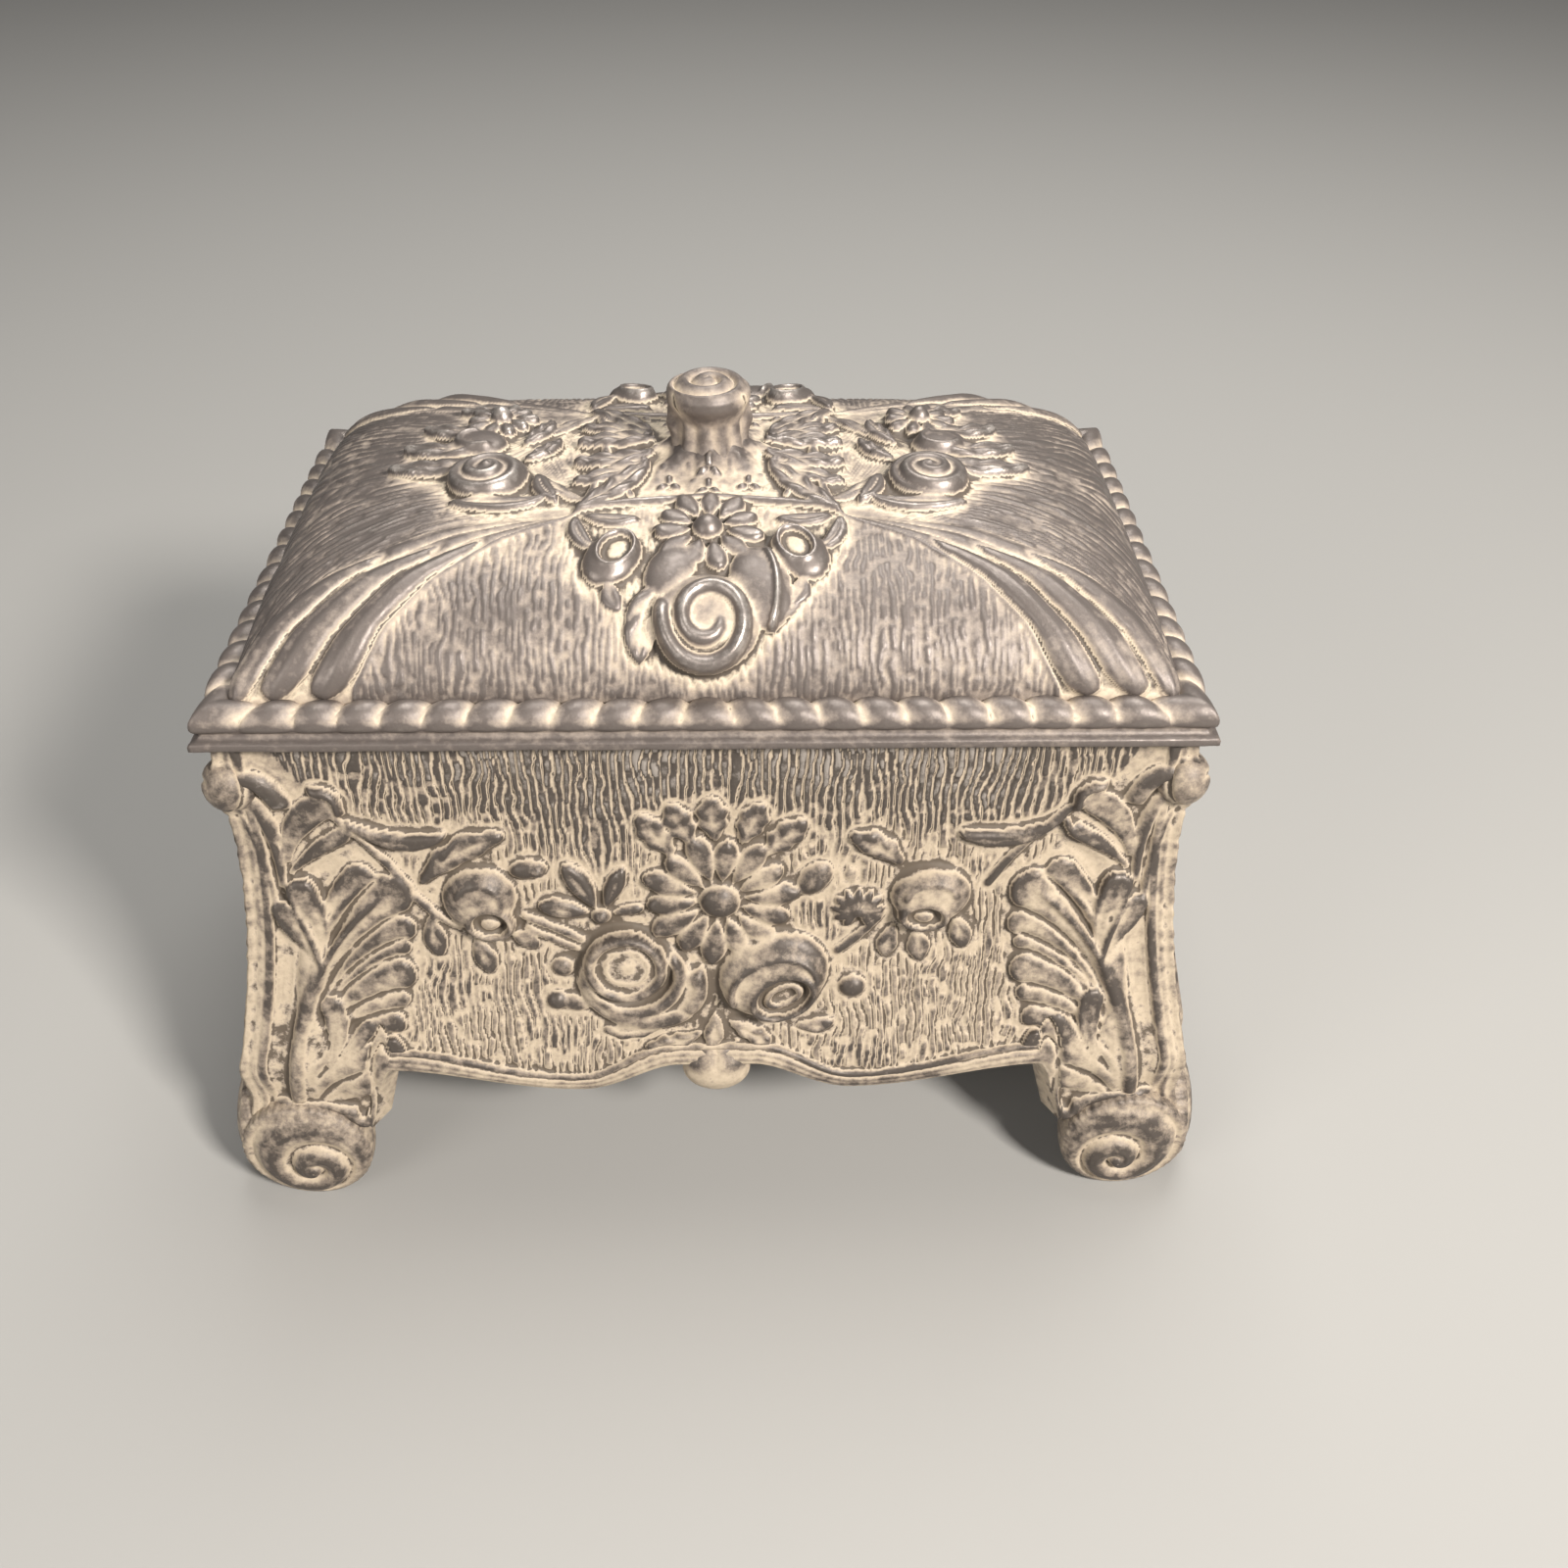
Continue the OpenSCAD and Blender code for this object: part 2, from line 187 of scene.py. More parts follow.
def bend(p0, p1, p2, steps=10):
    """Points of the quadratic curve from p0 to p2, pulled towards p1."""
    t = np.linspace(0, 1, steps + 1)[:, None]
    return (1 - t) ** 2 * np.array(p0) + 2 * t * (1 - t) * np.array(p1) + t ** 2 * np.array(p2)


def along(x, z, path):
    """For each point, the nearest place on a path: its share of the way along, and its
    signed distance, from the projection on each straight piece in turn."""
    lengths = np.linalg.norm(np.diff(path, axis=0), axis=1)
    starts = np.concatenate([[0], np.cumsum(lengths)])
    near = np.full(x.shape, np.inf)
    share, side = np.zeros(x.shape), np.ones(x.shape)
    for k in range(len(lengths)):
        (ax, az), (bx, bz) = path[k], path[k + 1]
        ux, uz = (bx - ax) / lengths[k], (bz - az) / lengths[k]
        run = (x - ax) * ux + (z - az) * uz
        t = np.clip(run, 0, lengths[k])
        off = np.hypot(x - ax - t * ux, z - az - t * uz)
        hit = off < near
        # past the two ends the run goes on, so that a leaf's outline can close there
        if k == 0:
            t = np.minimum(run, lengths[k])
        if k == len(lengths) - 1:
            t = np.maximum(t, run)
        near = np.where(hit, off, near)
        share = np.where(hit, (starts[k] + t) / starts[-1], share)
        side = np.where(hit, np.sign(ux * (z - az) - uz * (x - ax)), side)
    return share, near * side


class Relief:
    """A height map in mm over points x, z. Each shape is laid on it and stands above it."""

    def __init__(self, x, z):
        self.x, self.z = x, z
        self.h = np.zeros(np.broadcast(x, z).shape)
        self.pale = np.zeros(self.h.shape)

    def lay(self, mask, height):
        """Raises the map to height where the mask holds and the height is greater."""
        self.h[mask] = np.maximum(self.h[mask], height)

    def near(self, points, reach):
        """The part of the map within reach of a set of points."""
        low, high = np.min(points, axis=0) - reach, np.max(points, axis=0) + reach
        return (self.x > low[0]) & (self.x < high[0]) & (self.z > low[1]) & (self.z < high[1])

    def strand(self, path, width, height):
        """A round cord along a path, sunk at both ends."""
        path = np.array(path, float)
        m = self.near(path, width)
        t, d = along(self.x[m], self.z[m], path)
        ends = np.sqrt(np.clip(1 - (2 * t - 1) ** 8, 0, 1))
        self.lay(m, height * cap(d / width) * ends)

    def groove(self, path, width, depth):
        """A round-bottomed cut along a path, shallow at both ends."""
        path = np.array(path, float)
        m = self.near(path, width * 3)
        t, d = along(self.x[m], self.z[m], path)
        cut = depth * np.exp(-(d / width) ** 2) * smooth(t, 0.0, 0.35) * smooth(1.04 - t, 0.0, 0.12)
        self.h[m] = np.maximum(self.h[m] - cut, np.minimum(self.h[m], 0.25))

    def leaf(self, path, width, height, veins=0, rim=0.0, blunt=0.5, notch=0.0):
        """A leaf along a path, widest towards its tip when blunt is over one half. Its two
        halves are round with a groove between. veins slant across it, and a rim raises
        its outline."""
        path = np.array(path, float)
        m = self.near(path, width * 1.3)
        t, d = along(self.x[m], self.z[m], path)
        tt = np.clip(t, 0, 1)
        lean = math.log(0.5) / math.log(blunt)
        outline = width * np.sin(math.pi * tt ** lean) ** 0.62
        if notch:
            outline = outline * (1 + notch * np.sin(tt * 21))
        s = np.abs(d) / np.maximum(outline, 1e-3)
        body = 0.42 + 0.58 * cap(s * 1.7 - 0.85)
        if veins:
            body = body - 0.16 * np.cos(2 * math.pi * (veins * t - s * 0.8)) * smooth(s, 0.1, 0.3)
        body = body + rim * np.exp(-((s - 0.86) / 0.13) ** 2)
        inside = (s < 1) & (t > 0) & (t < 1)
        self.lay(m, np.where(inside, height * body * cap(s ** 3), 0))

    def daisy(self, cx, cz, r, petals, height, boss, turn=0.0, start=0.36):
        """Petals like drops round a domed boss, on a low mound, with a fine ridge running in
        from each petal."""
        m = self.near([(cx, cz)], r * 1.05)
        dx, dz = self.x[m] - cx, self.z[m] - cz
        rho, angle = np.hypot(dx, dz), np.arctan2(dz, dx)
        k = (angle - turn) * petals / (2 * math.pi)
        long = 1 - 0.09 * (np.round(k) % 2)
        a = (k - np.round(k)) * 2 * math.pi / petals * rho
        t = np.clip((rho / (r * long) - start) / (1 - start), 0, 1)
        wide = 0.84 * math.pi * r / petals * np.sin(math.pi * t ** 1.45) ** 0.55
        share = a / np.maximum(wide, 1e-3)
        made = height * (0.55 * cap(share) + 0.45 * (np.abs(a) < wide)) * cap(np.abs(share) ** 2.5)
        made = np.maximum(made, height * 0.55 * cap(a / 0.22) * (rho < r * 0.6))
        made = np.maximum(made, height * 0.36 * cap(rho / (r * 0.75)))
        made = np.maximum(made, height * 1.75 * cap(rho / boss))
        self.lay(m, made)

    def lobe(self, path, width, height, veins=2):
        """A leaf lobe along a path: it widens to a round end, has a thick rolled rim, fine
        lines running to its tip, and a pitted face."""
        path = np.array(path, float)
        m = self.near(path, width * 1.4)
        t, d = along(self.x[m], self.z[m], path)
        tt = np.clip(t, 0, 1)
        length = np.linalg.norm(np.diff(path, axis=0), axis=1).sum()
        tip = min(0.45, width / length)
        rounded = cap((tt - 1 + tip) / tip * (tt > 1 - tip))
        outline = width * (0.3 + 0.7 * smooth(tt, 0.0, 0.7)) * rounded
        s = np.abs(d) / np.maximum(outline, 1e-3)
        pits = 0.06 * smooth(field(self.x[m] / 0.45, self.z[m] / 0.45, 7), 0.5, 0.7) * (tt > 0.45)
        lines = 0.05 * np.cos(2 * math.pi * veins * s) * (1 - smooth(s, 0.55, 0.7))
        lines = lines * smooth(0.85 - tt, 0, 0.3)
        body = 0.76 + 0.26 * np.exp(-((s - 0.84) / 0.13) ** 2) + lines - pits
        body = body * (0.65 + 0.35 * smooth(tt, 0.1, 0.8))
        self.lay(m, np.where((s < 1) & (t > 0) & (t < 1), height * body * cap(s ** 4), 0))

    def oval(self, cx, cz, rx, rz, turn, height, power=1.0):
        """A domed oval, turned by an angle in degrees."""
        m = self.near([(cx, cz)], max(rx, rz))
        u, v = turned(self.x[m] - cx, self.z[m] - cz, turn)
        self.lay(m, height * cap(np.hypot(u / rx, v / rz)) ** power)

    def ring(self, cx, cz, rx, rz, turn, wide, height, gap=None):
        """A round band along an oval. gap leaves out the part near an angle in degrees."""
        m = self.near([(cx, cz)], max(rx, rz) + wide)
        u, v = turned(self.x[m] - cx, self.z[m] - cz, turn)
        mean = (rx + rz) / 2
        d = (np.hypot(u / rx, v / rz) - 1) * mean
        band = height * cap(d / wide)
        if gap is not None:
            centre, half = math.radians(gap[0]), math.radians(gap[1])
            away = np.abs((np.arctan2(v, u) - centre + math.pi) % (2 * math.pi) - math.pi)
            band = band * smooth(away, half, half + 0.5)
        self.lay(m, band)

    def pit(self, cx, cz, rx, rz, turn, floor_h):
        """Cuts the map down to a floor inside an oval, for the mouth of a cup."""
        m = self.near([(cx, cz)], max(rx, rz))
        u, v = turned(self.x[m] - cx, self.z[m] - cz, turn)
        q = np.hypot(u / rx, v / rz)
        self.pale[m] = np.maximum(self.pale[m], 0.34 * (1 - smooth(q, 0.8, 1.0)))
        sunk = floor_h + (self.h[m] - floor_h) * smooth(q, 0.8, 1)
        self.h[m] = np.where(q < 1, np.minimum(self.h[m], sunk), self.h[m])

    def cup(self, cx, cz, rx, rz, turn, height, mouth):
        """A half-open rose seen from the side: a barrel with folded petals, and at mouth
        (x, z, rx, rz, turn) its round opening with the bud inside."""
        self.oval(cx, cz, rx, rz, turn, height, 0.8)
        self.ring(cx, cz, rx * 0.62, rz * 0.62, turn, rx * 0.14, height * 1.06, gap=(-90, 70))
        mx, mz, mrx, mrz, mturn = mouth
        self.pit(mx, mz, mrx, mrz, mturn, height * 0.5)
        self.ring(mx, mz, mrx * 1.08, mrz * 1.08, mturn, mrx * 0.24, height * 1.12)
        self.oval(mx, mz, mrx * 0.62, mrz * 0.62, mturn, height * 0.86, 0.6)

    def rose(self, cx, cz, r, height, turn=0.0, petals=3, hand=1):
        """An open rose: a dome whose surface steps down outwards along a spiral, so that
        each petal laps over the next, with a small eye."""
        m = self.near([(cx, cz)], r)
        dx, dz = self.x[m] - cx, self.z[m] - cz
        rho, angle = np.hypot(dx, dz) / r, np.arctan2(dz, dx) * hand
        q = petals * rho ** 0.85 - (angle + turn) / (2 * math.pi)
        fold = q - np.floor(q)
        dome = height * (0.45 + 0.55 * np.sqrt(np.clip(1 - rho ** 2, 0, 1)))
        made = dome * (0.68 + 0.32 * np.sin(math.pi * fold ** 1.6) ** 0.8)
        made = np.maximum(made, height * 1.05 * cap(rho / 0.16))
        self.lay(m, made * (rho < 1) * smooth(1 - rho, 0, 0.06))


def turned(u, v, degrees):
    """Coordinates turned back by an angle, so that a turned oval becomes upright."""
    c, s = math.cos(math.radians(degrees)), math.sin(math.radians(degrees))
    return u * c + v * s, -u * s + v * c


def bark(u, v, seed, pitch=0.85):
    """Ground of broken upright ridges: a flat-topped wave of the given pitch in u, whose
    crests wander and are nicked through at random along v. From 0 to 1."""
    wander = field(u / 3.4, v / 5.0, seed) * 1.5 + field(u / 1.1, v / 1.8, seed + 1) * 0.62
    wave = smooth(0.5 + 0.5 * np.cos(2 * math.pi * (u / pitch + wander)), 0.08, 0.55)
    nicks = smooth(field(u / (pitch * 0.9), v / 1.05, seed + 2), 0.24, 0.42)
    return wave * (0.2 + 0.8 * nicks) * (0.75 + 0.25 * field(u / 2.3, v / 3.1, seed + 3))


def blurred(h, cells):
    """The map averaged over a square of cells, twice, by running sums."""
    for _ in range(2):
        for axis in (0, 1):
            pad = [(0, 0), (0, 0)]
            pad[axis] = (cells + 1, cells)
            sums = np.cumsum(np.pad(h, pad, mode="edge"), axis=axis)
            width = 2 * cells + 1
            low = np.take(sums, range(0, sums.shape[axis] - width), axis=axis)
            high = np.take(sums, range(width, sums.shape[axis]), axis=axis)
            h = (high - low) / width
    return h


def worn(h):
    """How rubbed each point is: a limited height over its wide surroundings, and a limited
    height over its near ones, so that edges and crests come out strongest."""
    return 0.13 * np.tanh((h - blurred(h, 7)) / 0.30) + 0.60 * np.clip(h - blurred(h, 2), -0.12, 0.16)


def crease_shade(h):
    """Painted shade in the corner at the foot of a step: how deep each point lies there, as the
    height of its near surroundings over it, from 0.05 mm up."""
    return np.clip(blurred(h, 1) - h - 0.05, 0, 0.20)


def spun(points, degrees):
    """Points turned about the upright axis by an angle."""
    return points @ np.array(Matrix.Rotation(math.radians(degrees), 3, "Z")).T


def sheet_faces(k, over=False):
    """Four-cornered faces over a grid of point numbers, turned over if over is true."""
    corners = [k[:-1, :-1], k[:-1, 1:], k[1:, 1:], k[1:, :-1]]
    return np.stack(corners[:1] + corners[:0:-1] if over else corners, -1).reshape(-1, 4).tolist()


def ring_faces(k):
    """Four-cornered faces over rows of point numbers, each row closed into a ring."""
    ahead = np.roll(k, -1, axis=1)
    return np.stack([k[:-1], ahead[:-1], ahead[1:], k[1:]], -1).reshape(-1, 4).tolist()


def closed_sheet(front, back):
    """Points and faces of a casting: a fine front grid, a coarse back grid, and an edge of
    many-sided faces that join the two. front is k times as fine as back both ways. Also
    gives how many of the faces are the front's."""
    m, n = front.shape[0] - 1, front.shape[1] - 1
    mb, nb = back.shape[0] - 1, back.shape[1] - 1
    k = n // nb
    assert m == mb * k and n == nb * k
    f = np.arange((m + 1) * (n + 1)).reshape(m + 1, n + 1)
    b = np.arange((mb + 1) * (nb + 1)).reshape(mb + 1, nb + 1) + f.size
    faces = sheet_faces(f)
    fine = len(faces)
    faces += sheet_faces(b, over=True)
    for j in range(nb):
        low, high = f[0, j * k:(j + 1) * k + 1], f[m, j * k:(j + 1) * k + 1]
        faces.append([low[0], b[0, j], b[0, j + 1], *low[:0:-1]])
        faces.append([*high, b[mb, j + 1], b[mb, j]])
    for i in range(mb):
        left, right = f[i * k:(i + 1) * k + 1, 0], f[i * k:(i + 1) * k + 1, n]
        faces.append([*left, b[i + 1, 0], b[i, 0]])
        faces.append([right[0], b[i, nb], b[i + 1, nb], *right[:0:-1]])
    points = np.concatenate([front.reshape(-1, 3), back.reshape(-1, 3)])
    return points, [[int(v) for v in face] for face in faces], fine


def build(name, points, faces, smooth_faces=None, wear=None, **marks):
    """Makes an object from points in mm. The first smooth_faces faces are shaded smooth.
    wear and marks become numbers on the points, for the material to read."""
    mesh = bpy.data.meshes.new(name)
    mesh.from_pydata((np.asarray(points) * MM).tolist(), [], faces)
    flags = np.zeros(len(faces), bool)
    flags[:len(faces) if smooth_faces is None else smooth_faces] = True
    mesh.polygons.foreach_set("use_smooth", flags)
    work = bmesh.new()
    work.from_mesh(mesh)
    bmesh.ops.recalc_face_normals(work, faces=work.faces)
    work.to_mesh(mesh)
    work.free()
    for key, values in dict(wear=wear, **marks).items():
        if values is None:
            continue
        full = np.zeros(len(points), np.float32)
        full[:values.size] = values.ravel()
        mesh.attributes.new(key, "FLOAT", "POINT").data.foreach_set("value", full)
    made = bpy.data.objects.new(name, mesh)
    bpy.context.collection.objects.link(made)
    return made


def apron_z(x, leg):
    """Height of the apron's edge: an S-curve from the legs down to its two lowest points
    and up again to the drop in the middle."""
    low, drop, a = 0.41 * leg, 0.11 * leg, np.abs(x)
    outer = APRON_LOW + APRON_RISE * (1 - np.cos(math.pi * (a - low) / (leg - low))) / 2
    inner_run = math.pi * np.clip(a - drop, 0, None) / (low - drop)
    inner = APRON_LOW + (APRON_RISE + 0.4) * (1 + np.cos(inner_run)) / 2
    return np.where(a >= low, outer, inner)


def panel_bottom(x, w):
    """Lower edge of a panel: the apron between the legs, then a step down into each leg,
    whose edge follows the round of the scroll below it."""
    leg, a = w / 2 - LEG_W, np.abs(x)
    edge = apron_z(np.clip(x, -leg, leg), leg)
    over = VOLUTE_Z + 6.2 * cap((a - (w / 2 - 2.6)) / 7.7)
    return edge + (over - edge) * smooth(a, leg - 0.8, leg + 4.2)


# the outline of the leg's ornament, as heights and distances past the lid's edge
LEG_EDGE = ((8, -13.5), (20, -14.2), (26, -15.6), (33, -18.2), (41, -19.0), (46, -16.5),
            (50, -13.6), (54, -13.2), (58, -9.0), (64, -6.0))


def acanthus(flowers, q, z):
    """The leg's ornament, in q, the distance past the lid's edge (so it is negative on the
    panel), and height z. Lobes of a long leaf fan inwards from a stem that rises out of the
    scroll, with two heart-shaped leaves on its outer side and curls under the ear."""
    leg = Relief(q, z)
    # a low mound under the fan, so that the lobes grow out of one leaf
    for path, wide, high in ((bend((-6.0, 13.0), (-8.2, 26.0), (-12.6, 40.5)), 5.2, 0.75),
                             (bend((-4.8, 12.0), (-6.0, 26.0), (-8.2, 36.0)), 2.6, 1.15)):
        leg.strand(path, wide, high)
    # base, pull and tip of each lobe, its half width and its height, from the back forwards
    fan = (
        ((-6.2, 29.0), (-8.6, 40.0), (-14.6, 46.8), 1.5, 1.2),
        ((-6.0, 27.0), (-9.6, 39.5), (-18.4, 44.6), 2.5, 1.45),
        ((-5.8, 25.0), (-9.6, 36.0), (-18.6, 39.4), 1.5, 1.3),
        ((-5.6, 24.0), (-9.6, 34.2), (-17.8, 36.6), 1.0, 1.15),
        ((-5.4, 22.5), (-9.2, 31.5), (-18.0, 33.2), 1.9, 1.45),
        ((-5.0, 21.0), (-8.8, 28.4), (-17.0, 29.7), 1.15, 1.2),
        ((-4.6, 18.5), (-8.0, 25.4), (-16.2, 26.4), 1.4, 1.3),
        ((-4.2, 15.5), (-7.6, 22.2), (-15.8, 22.8), 2.0, 1.5),
        ((-4.0, 12.0), (-6.4, 17.6), (-13.4, 18.6), 1.7, 1.4),
    )
    lap = 1.2
    for base, pull, tip, wide, high in fan:
        leg.lobe(bend(base, pull, tip), wide * lap, high)
    # a cut between each lobe and the next, nearer the narrower of the two
    for one, two in zip(fan[:-1], fan[1:]):
        between = [(np.array(a) * two[3] + np.array(b) * one[3]) / (one[3] + two[3])
                   for a, b in zip(one[:3], two[:3])]
        leg.groove(bend(*between), 0.34, 0.9)
    # the stem, and a midrib in the upper heart leaf and in the widest lobe
    for base, pull, tip, wide, high in (
        ((-2.2, 11.0), (-3.0, 24.0), (-8.3, 35.0), 1.15, 1.6),
        ((-8.2, 33.0), (-7.8, 37.0), (-6.6, 41.0), 0.5, 1.8),
        ((-6.2, 29.6), (-9.4, 38.4), (-16.4, 43.8), 0.5, 1.7),
    ):
        leg.strand(bend(base, pull, tip), wide, high)
    # heart-shaped leaves, each of two or three lobes that stand proud of the fan
    for base, pull, tip, wide, high in (
        ((-8.2, 34.0), (-5.8, 38.6), (-4.6, 42.6), 1.35, 1.75),
        ((-8.2, 34.0), (-8.8, 40.0), (-6.8, 45.6), 1.75, 2.0),
        ((-7.0, 20.6), (-6.6, 25.6), (-5.2, 27.4), 0.8, 1.6),
        ((-7.0, 20.6), (-9.8, 26.0), (-8.0, 30.0), 1.35, 1.9),
        ((-7.2, 20.6), (-11.0, 23.6), (-12.4, 26.6), 0.9, 1.7),
    ):
        leg.lobe(bend(base, pull, tip), wide, high, veins=1)
    # two leaves that spring from the top of the fan
    leg.lobe(bend((-6.2, 47.6), (-8.0, 54.6), (-12.4, 55.4)), 1.7, 1.1, veins=1)
    leg.lobe(bend((-6.4, 46.0), (-9.6, 49.6), (-13.4, 51.6)), 1.0, 1.2, veins=0)
    # flutes down from the ear, and the curls beside it
    for base, pull, tip, wide, high in (
        ((-1.6, 56.6), (-4.2, 52.0), (-4.2, 41.0), 0.55, 0.8),
        ((-3.6, 57.6), (-6.0, 52.0), (-5.4, 44.0), 0.6, 0.95),
        ((-0.6, 57.6), (-5.6, 60.8), (-7.2, 54.6), 1.25, 1.25),
        ((-2.6, 57.0), (-5.0, 56.5), (-5.6, 50.0), 1.0, 0.9),
        ((-10.0, 57.2), (-13.6, 57.4), (-12.8, 53.8), 0.55, 1.5),
        ((-13.8, 53.0), (-13.6, 50.6), (-10.8, 49.8), 0.45, 1.3),
    ):
        leg.strand(bend(base, pull, tip), wide, high)
    return np.maximum(flowers, leg.h)


def bouquet_front(r):
    """The flowers of the long panels: a swag of stems from both legs, two cup roses, a
    daisy in the middle over two big roses, buds and leaves."""
    # leaves as base, pull, tip, width, height, veins
    for base, pull, tip, wide, high, veins in (
        # the fan of leaves over the daisy
        ((-4.0, 48.0), (-5.5, 50.5), (-7.6, 53.4), 1.7, 0.9, 3),
        ((-1.8, 49.5), (-3.2, 52.0), (-4.2, 55.0), 1.6, 0.9, 3),
        ((0.6, 50.0), (0.0, 52.5), (0.2, 55.9), 1.7, 0.9, 3),
        ((3.2, 49.5), (4.2, 52.2), (5.4, 55.0), 1.6, 0.9, 3),
        ((5.4, 48.0), (7.6, 50.5), (10.0, 52.6), 1.7, 0.9, 3),
        # a long leaf on each swag, and the swag's own two
        ((-31.2, 44.4), (-27.6, 49.6), (-21.6, 51.0), 1.7, 1.1, 4),
        ((20.4, 46.6), (18.6, 49.4), (14.6, 50.6), 1.6, 1.1, 4),
        ((-37.8, 53.4), (-33.0, 48.6), (-27.6, 51.2), 1.2, 1.4, 0),
        ((37.0, 53.2), (32.4, 48.8), (26.0, 51.0), 1.2, 1.4, 0),
        # the sepals under the cup roses
        ((-30.4, 40.5), (-30.6, 38.0), (-30.0, 34.9), 1.3, 0.9, 2),
        ((-26.0, 37.4), (-25.2, 35.4), (-24.6, 32.6), 1.3, 0.9, 2),
        ((-22.4, 38.4), (-20.8, 37.6), (-19.2, 36.0), 1.1, 0.9, 2),
        ((19.8, 38.6), (19.2, 37.0), (18.8, 34.4), 1.2, 0.9, 2),
        ((22.4, 38.4), (22.4, 36.6), (22.8, 33.8), 1.3, 0.9, 2),
        ((26.2, 40.0), (27.0, 38.2), (27.6, 35.4), 1.3, 0.9, 2),
        # the four-leaved sprig
        ((-12.6, 41.2), (-13.8, 44.0), (-15.8, 47.0), 1.35, 1.2, 0),
        ((-11.6, 41.2), (-10.8, 43.6), (-9.4, 46.4), 1.1, 1.1, 0),
        ((-13.4, 40.6), (-16.0, 41.2), (-18.8, 41.6), 1.3, 1.2, 0),
        ((-11.0, 40.4), (-9.4, 40.8), (-7.4, 41.0), 0.7, 0.9, 0),
        # the leaves under the two big roses
        ((-5.5, 25.6), (-9.0, 24.6), (-12.6, 25.0), 1.2, 0.9, 3),
        ((-1.5, 24.6), (-4.5, 22.6), (-8.0, 22.6), 1.2, 0.9, 3),
        ((1.5, 26.0), (4.0, 24.4), (6.4, 23.0), 1.2, 0.9, 3),
        ((0.0, 27.0), (0.2, 25.0), (-0.6, 22.4), 1.2, 1.0, 2),
        ((9.0, 25.4), (11.5, 24.8), (13.4, 25.8), 1.0, 0.8, 2),
    ):
        r.leaf(bend(base, pull, tip), wide, high, veins=veins, rim=0.25 if veins else 0.0,
               blunt=0.58, notch=0.1 if veins > 2 else 0)
    # stems
    for points in (
        ((-40.2, 55.4), (-35.0, 49.0), (-32.0, 43.4)), ((-32.2, 43.4), (-30.0, 39.8), (-27.0, 38.6)),
        ((39.0, 55.4), (33.0, 50.5), (29.4, 43.4)), ((-21.0, 40.4), (-17.0, 38.6), (-13.8, 36.6)),
        ((-20.6, 39.0), (-17.4, 36.8), (-14.2, 35.6)), ((18.6, 40.6), (16.6, 37.4), (13.2, 34.8)),
    ):
        r.strand(bend(*points), 0.55, 0.85)
    # buds as place, radii, turn, height
    for cx, cz, rx, rz, turn, high in (
        (-19.6, 46.4, 2.1, 1.3, 10, 1.3), (-18.5, 46.4, 1.0, 0.9, 0, 1.7), (-16.7, 33.4, 1.35, 1.3, 0, 1.2),
        (-17.6, 28.9, 1.3, 1.25, 0, 1.2), (-15.6, 28.6, 1.9, 1.2, -8, 0.9), (-12.1, 40.2, 1.15, 1.1, 0, 1.5),
        (11.0, 44.8, 1.7, 2.5, -35, 1.3), (11.3, 44.4, 0.8, 1.3, -35, 1.7), (15.4, 30.4, 1.6, 1.5, 0, 1.2),
    ):
        r.oval(cx, cz, rx, rz, turn, high)
    # the thistle: eleven short leaves round a small head
    for turn in np.radians(range(-60, 241, 30)):
        tip = (15.8 + 3.0 * math.cos(turn), 40.8 + 2.7 * math.sin(turn))
        r.leaf(bend((15.8, 40.4), (15.8, 41.0), tip), 0.55, 1.1, blunt=0.6)
    r.oval(15.8, 40.6, 0.9, 0.8, 0, 1.5)
    # the two cup roses
    r.cup(-25.0, 42.6, 4.0, 4.3, -20, 2.3, (-24.0, 39.9, 2.1, 1.75, -10))
    r.cup(23.6, 42.7, 4.4, 3.7, 5, 2.3, (22.9, 40.4, 2.2, 1.5, 0))
    # the open rose on the left: rings round an eye, and lapped petals below it
    r.ring(-8.6, 31.2, 6.0, 5.2, -25, 0.9, 1.2, gap=(120, 60))
    r.ring(-9.0, 32.4, 5.2, 4.8, -20, 0.9, 1.6, gap=(120, 50))
    r.oval(-9.7, 33.7, 5.0, 4.9, 0, 1.9, 0.7)
    r.ring(-9.7, 33.9, 3.9, 3.8, 0, 0.85, 2.6)
    r.pit(-9.6, 34.0, 3.0, 2.9, 0, 1.9)
    r.ring(-9.6, 34.0, 2.3, 2.2, 0, 0.4, 2.15)
    r.oval(-9.6, 34.0, 1.5, 1.4, 0, 2.1, 0.4)
    r.strand(bend((-12.4, 28.4), (-7.5, 24.6), (-3.0, 27.6)), 1.3, 1.5)
    r.strand(bend((-3.4, 27.4), (-0.8, 29.4), (-2.2, 33.0)), 1.1, 1.6)
    # the half-open rose on the right, tipped over
    r.oval(6.6, 32.2, 6.4, 5.5, 28, 2.6, 0.8)
    r.ring(6.7, 31.0, 5.0, 3.9, 28, 0.6, 2.75, gap=(-100, 60))
    r.pit(7.7, 29.9, 3.4, 2.4, 28, 0.9)
    r.ring(7.7, 29.9, 3.6, 2.6, 28, 0.6, 2.8)
    r.ring(7.7, 29.8, 2.0, 1.1, 28, 0.45, 2.1)
    # the daisy
    r.daisy(0.8, 42.3, 8.7, 14, 1.3, 2.4, turn=0.1, start=0.32)


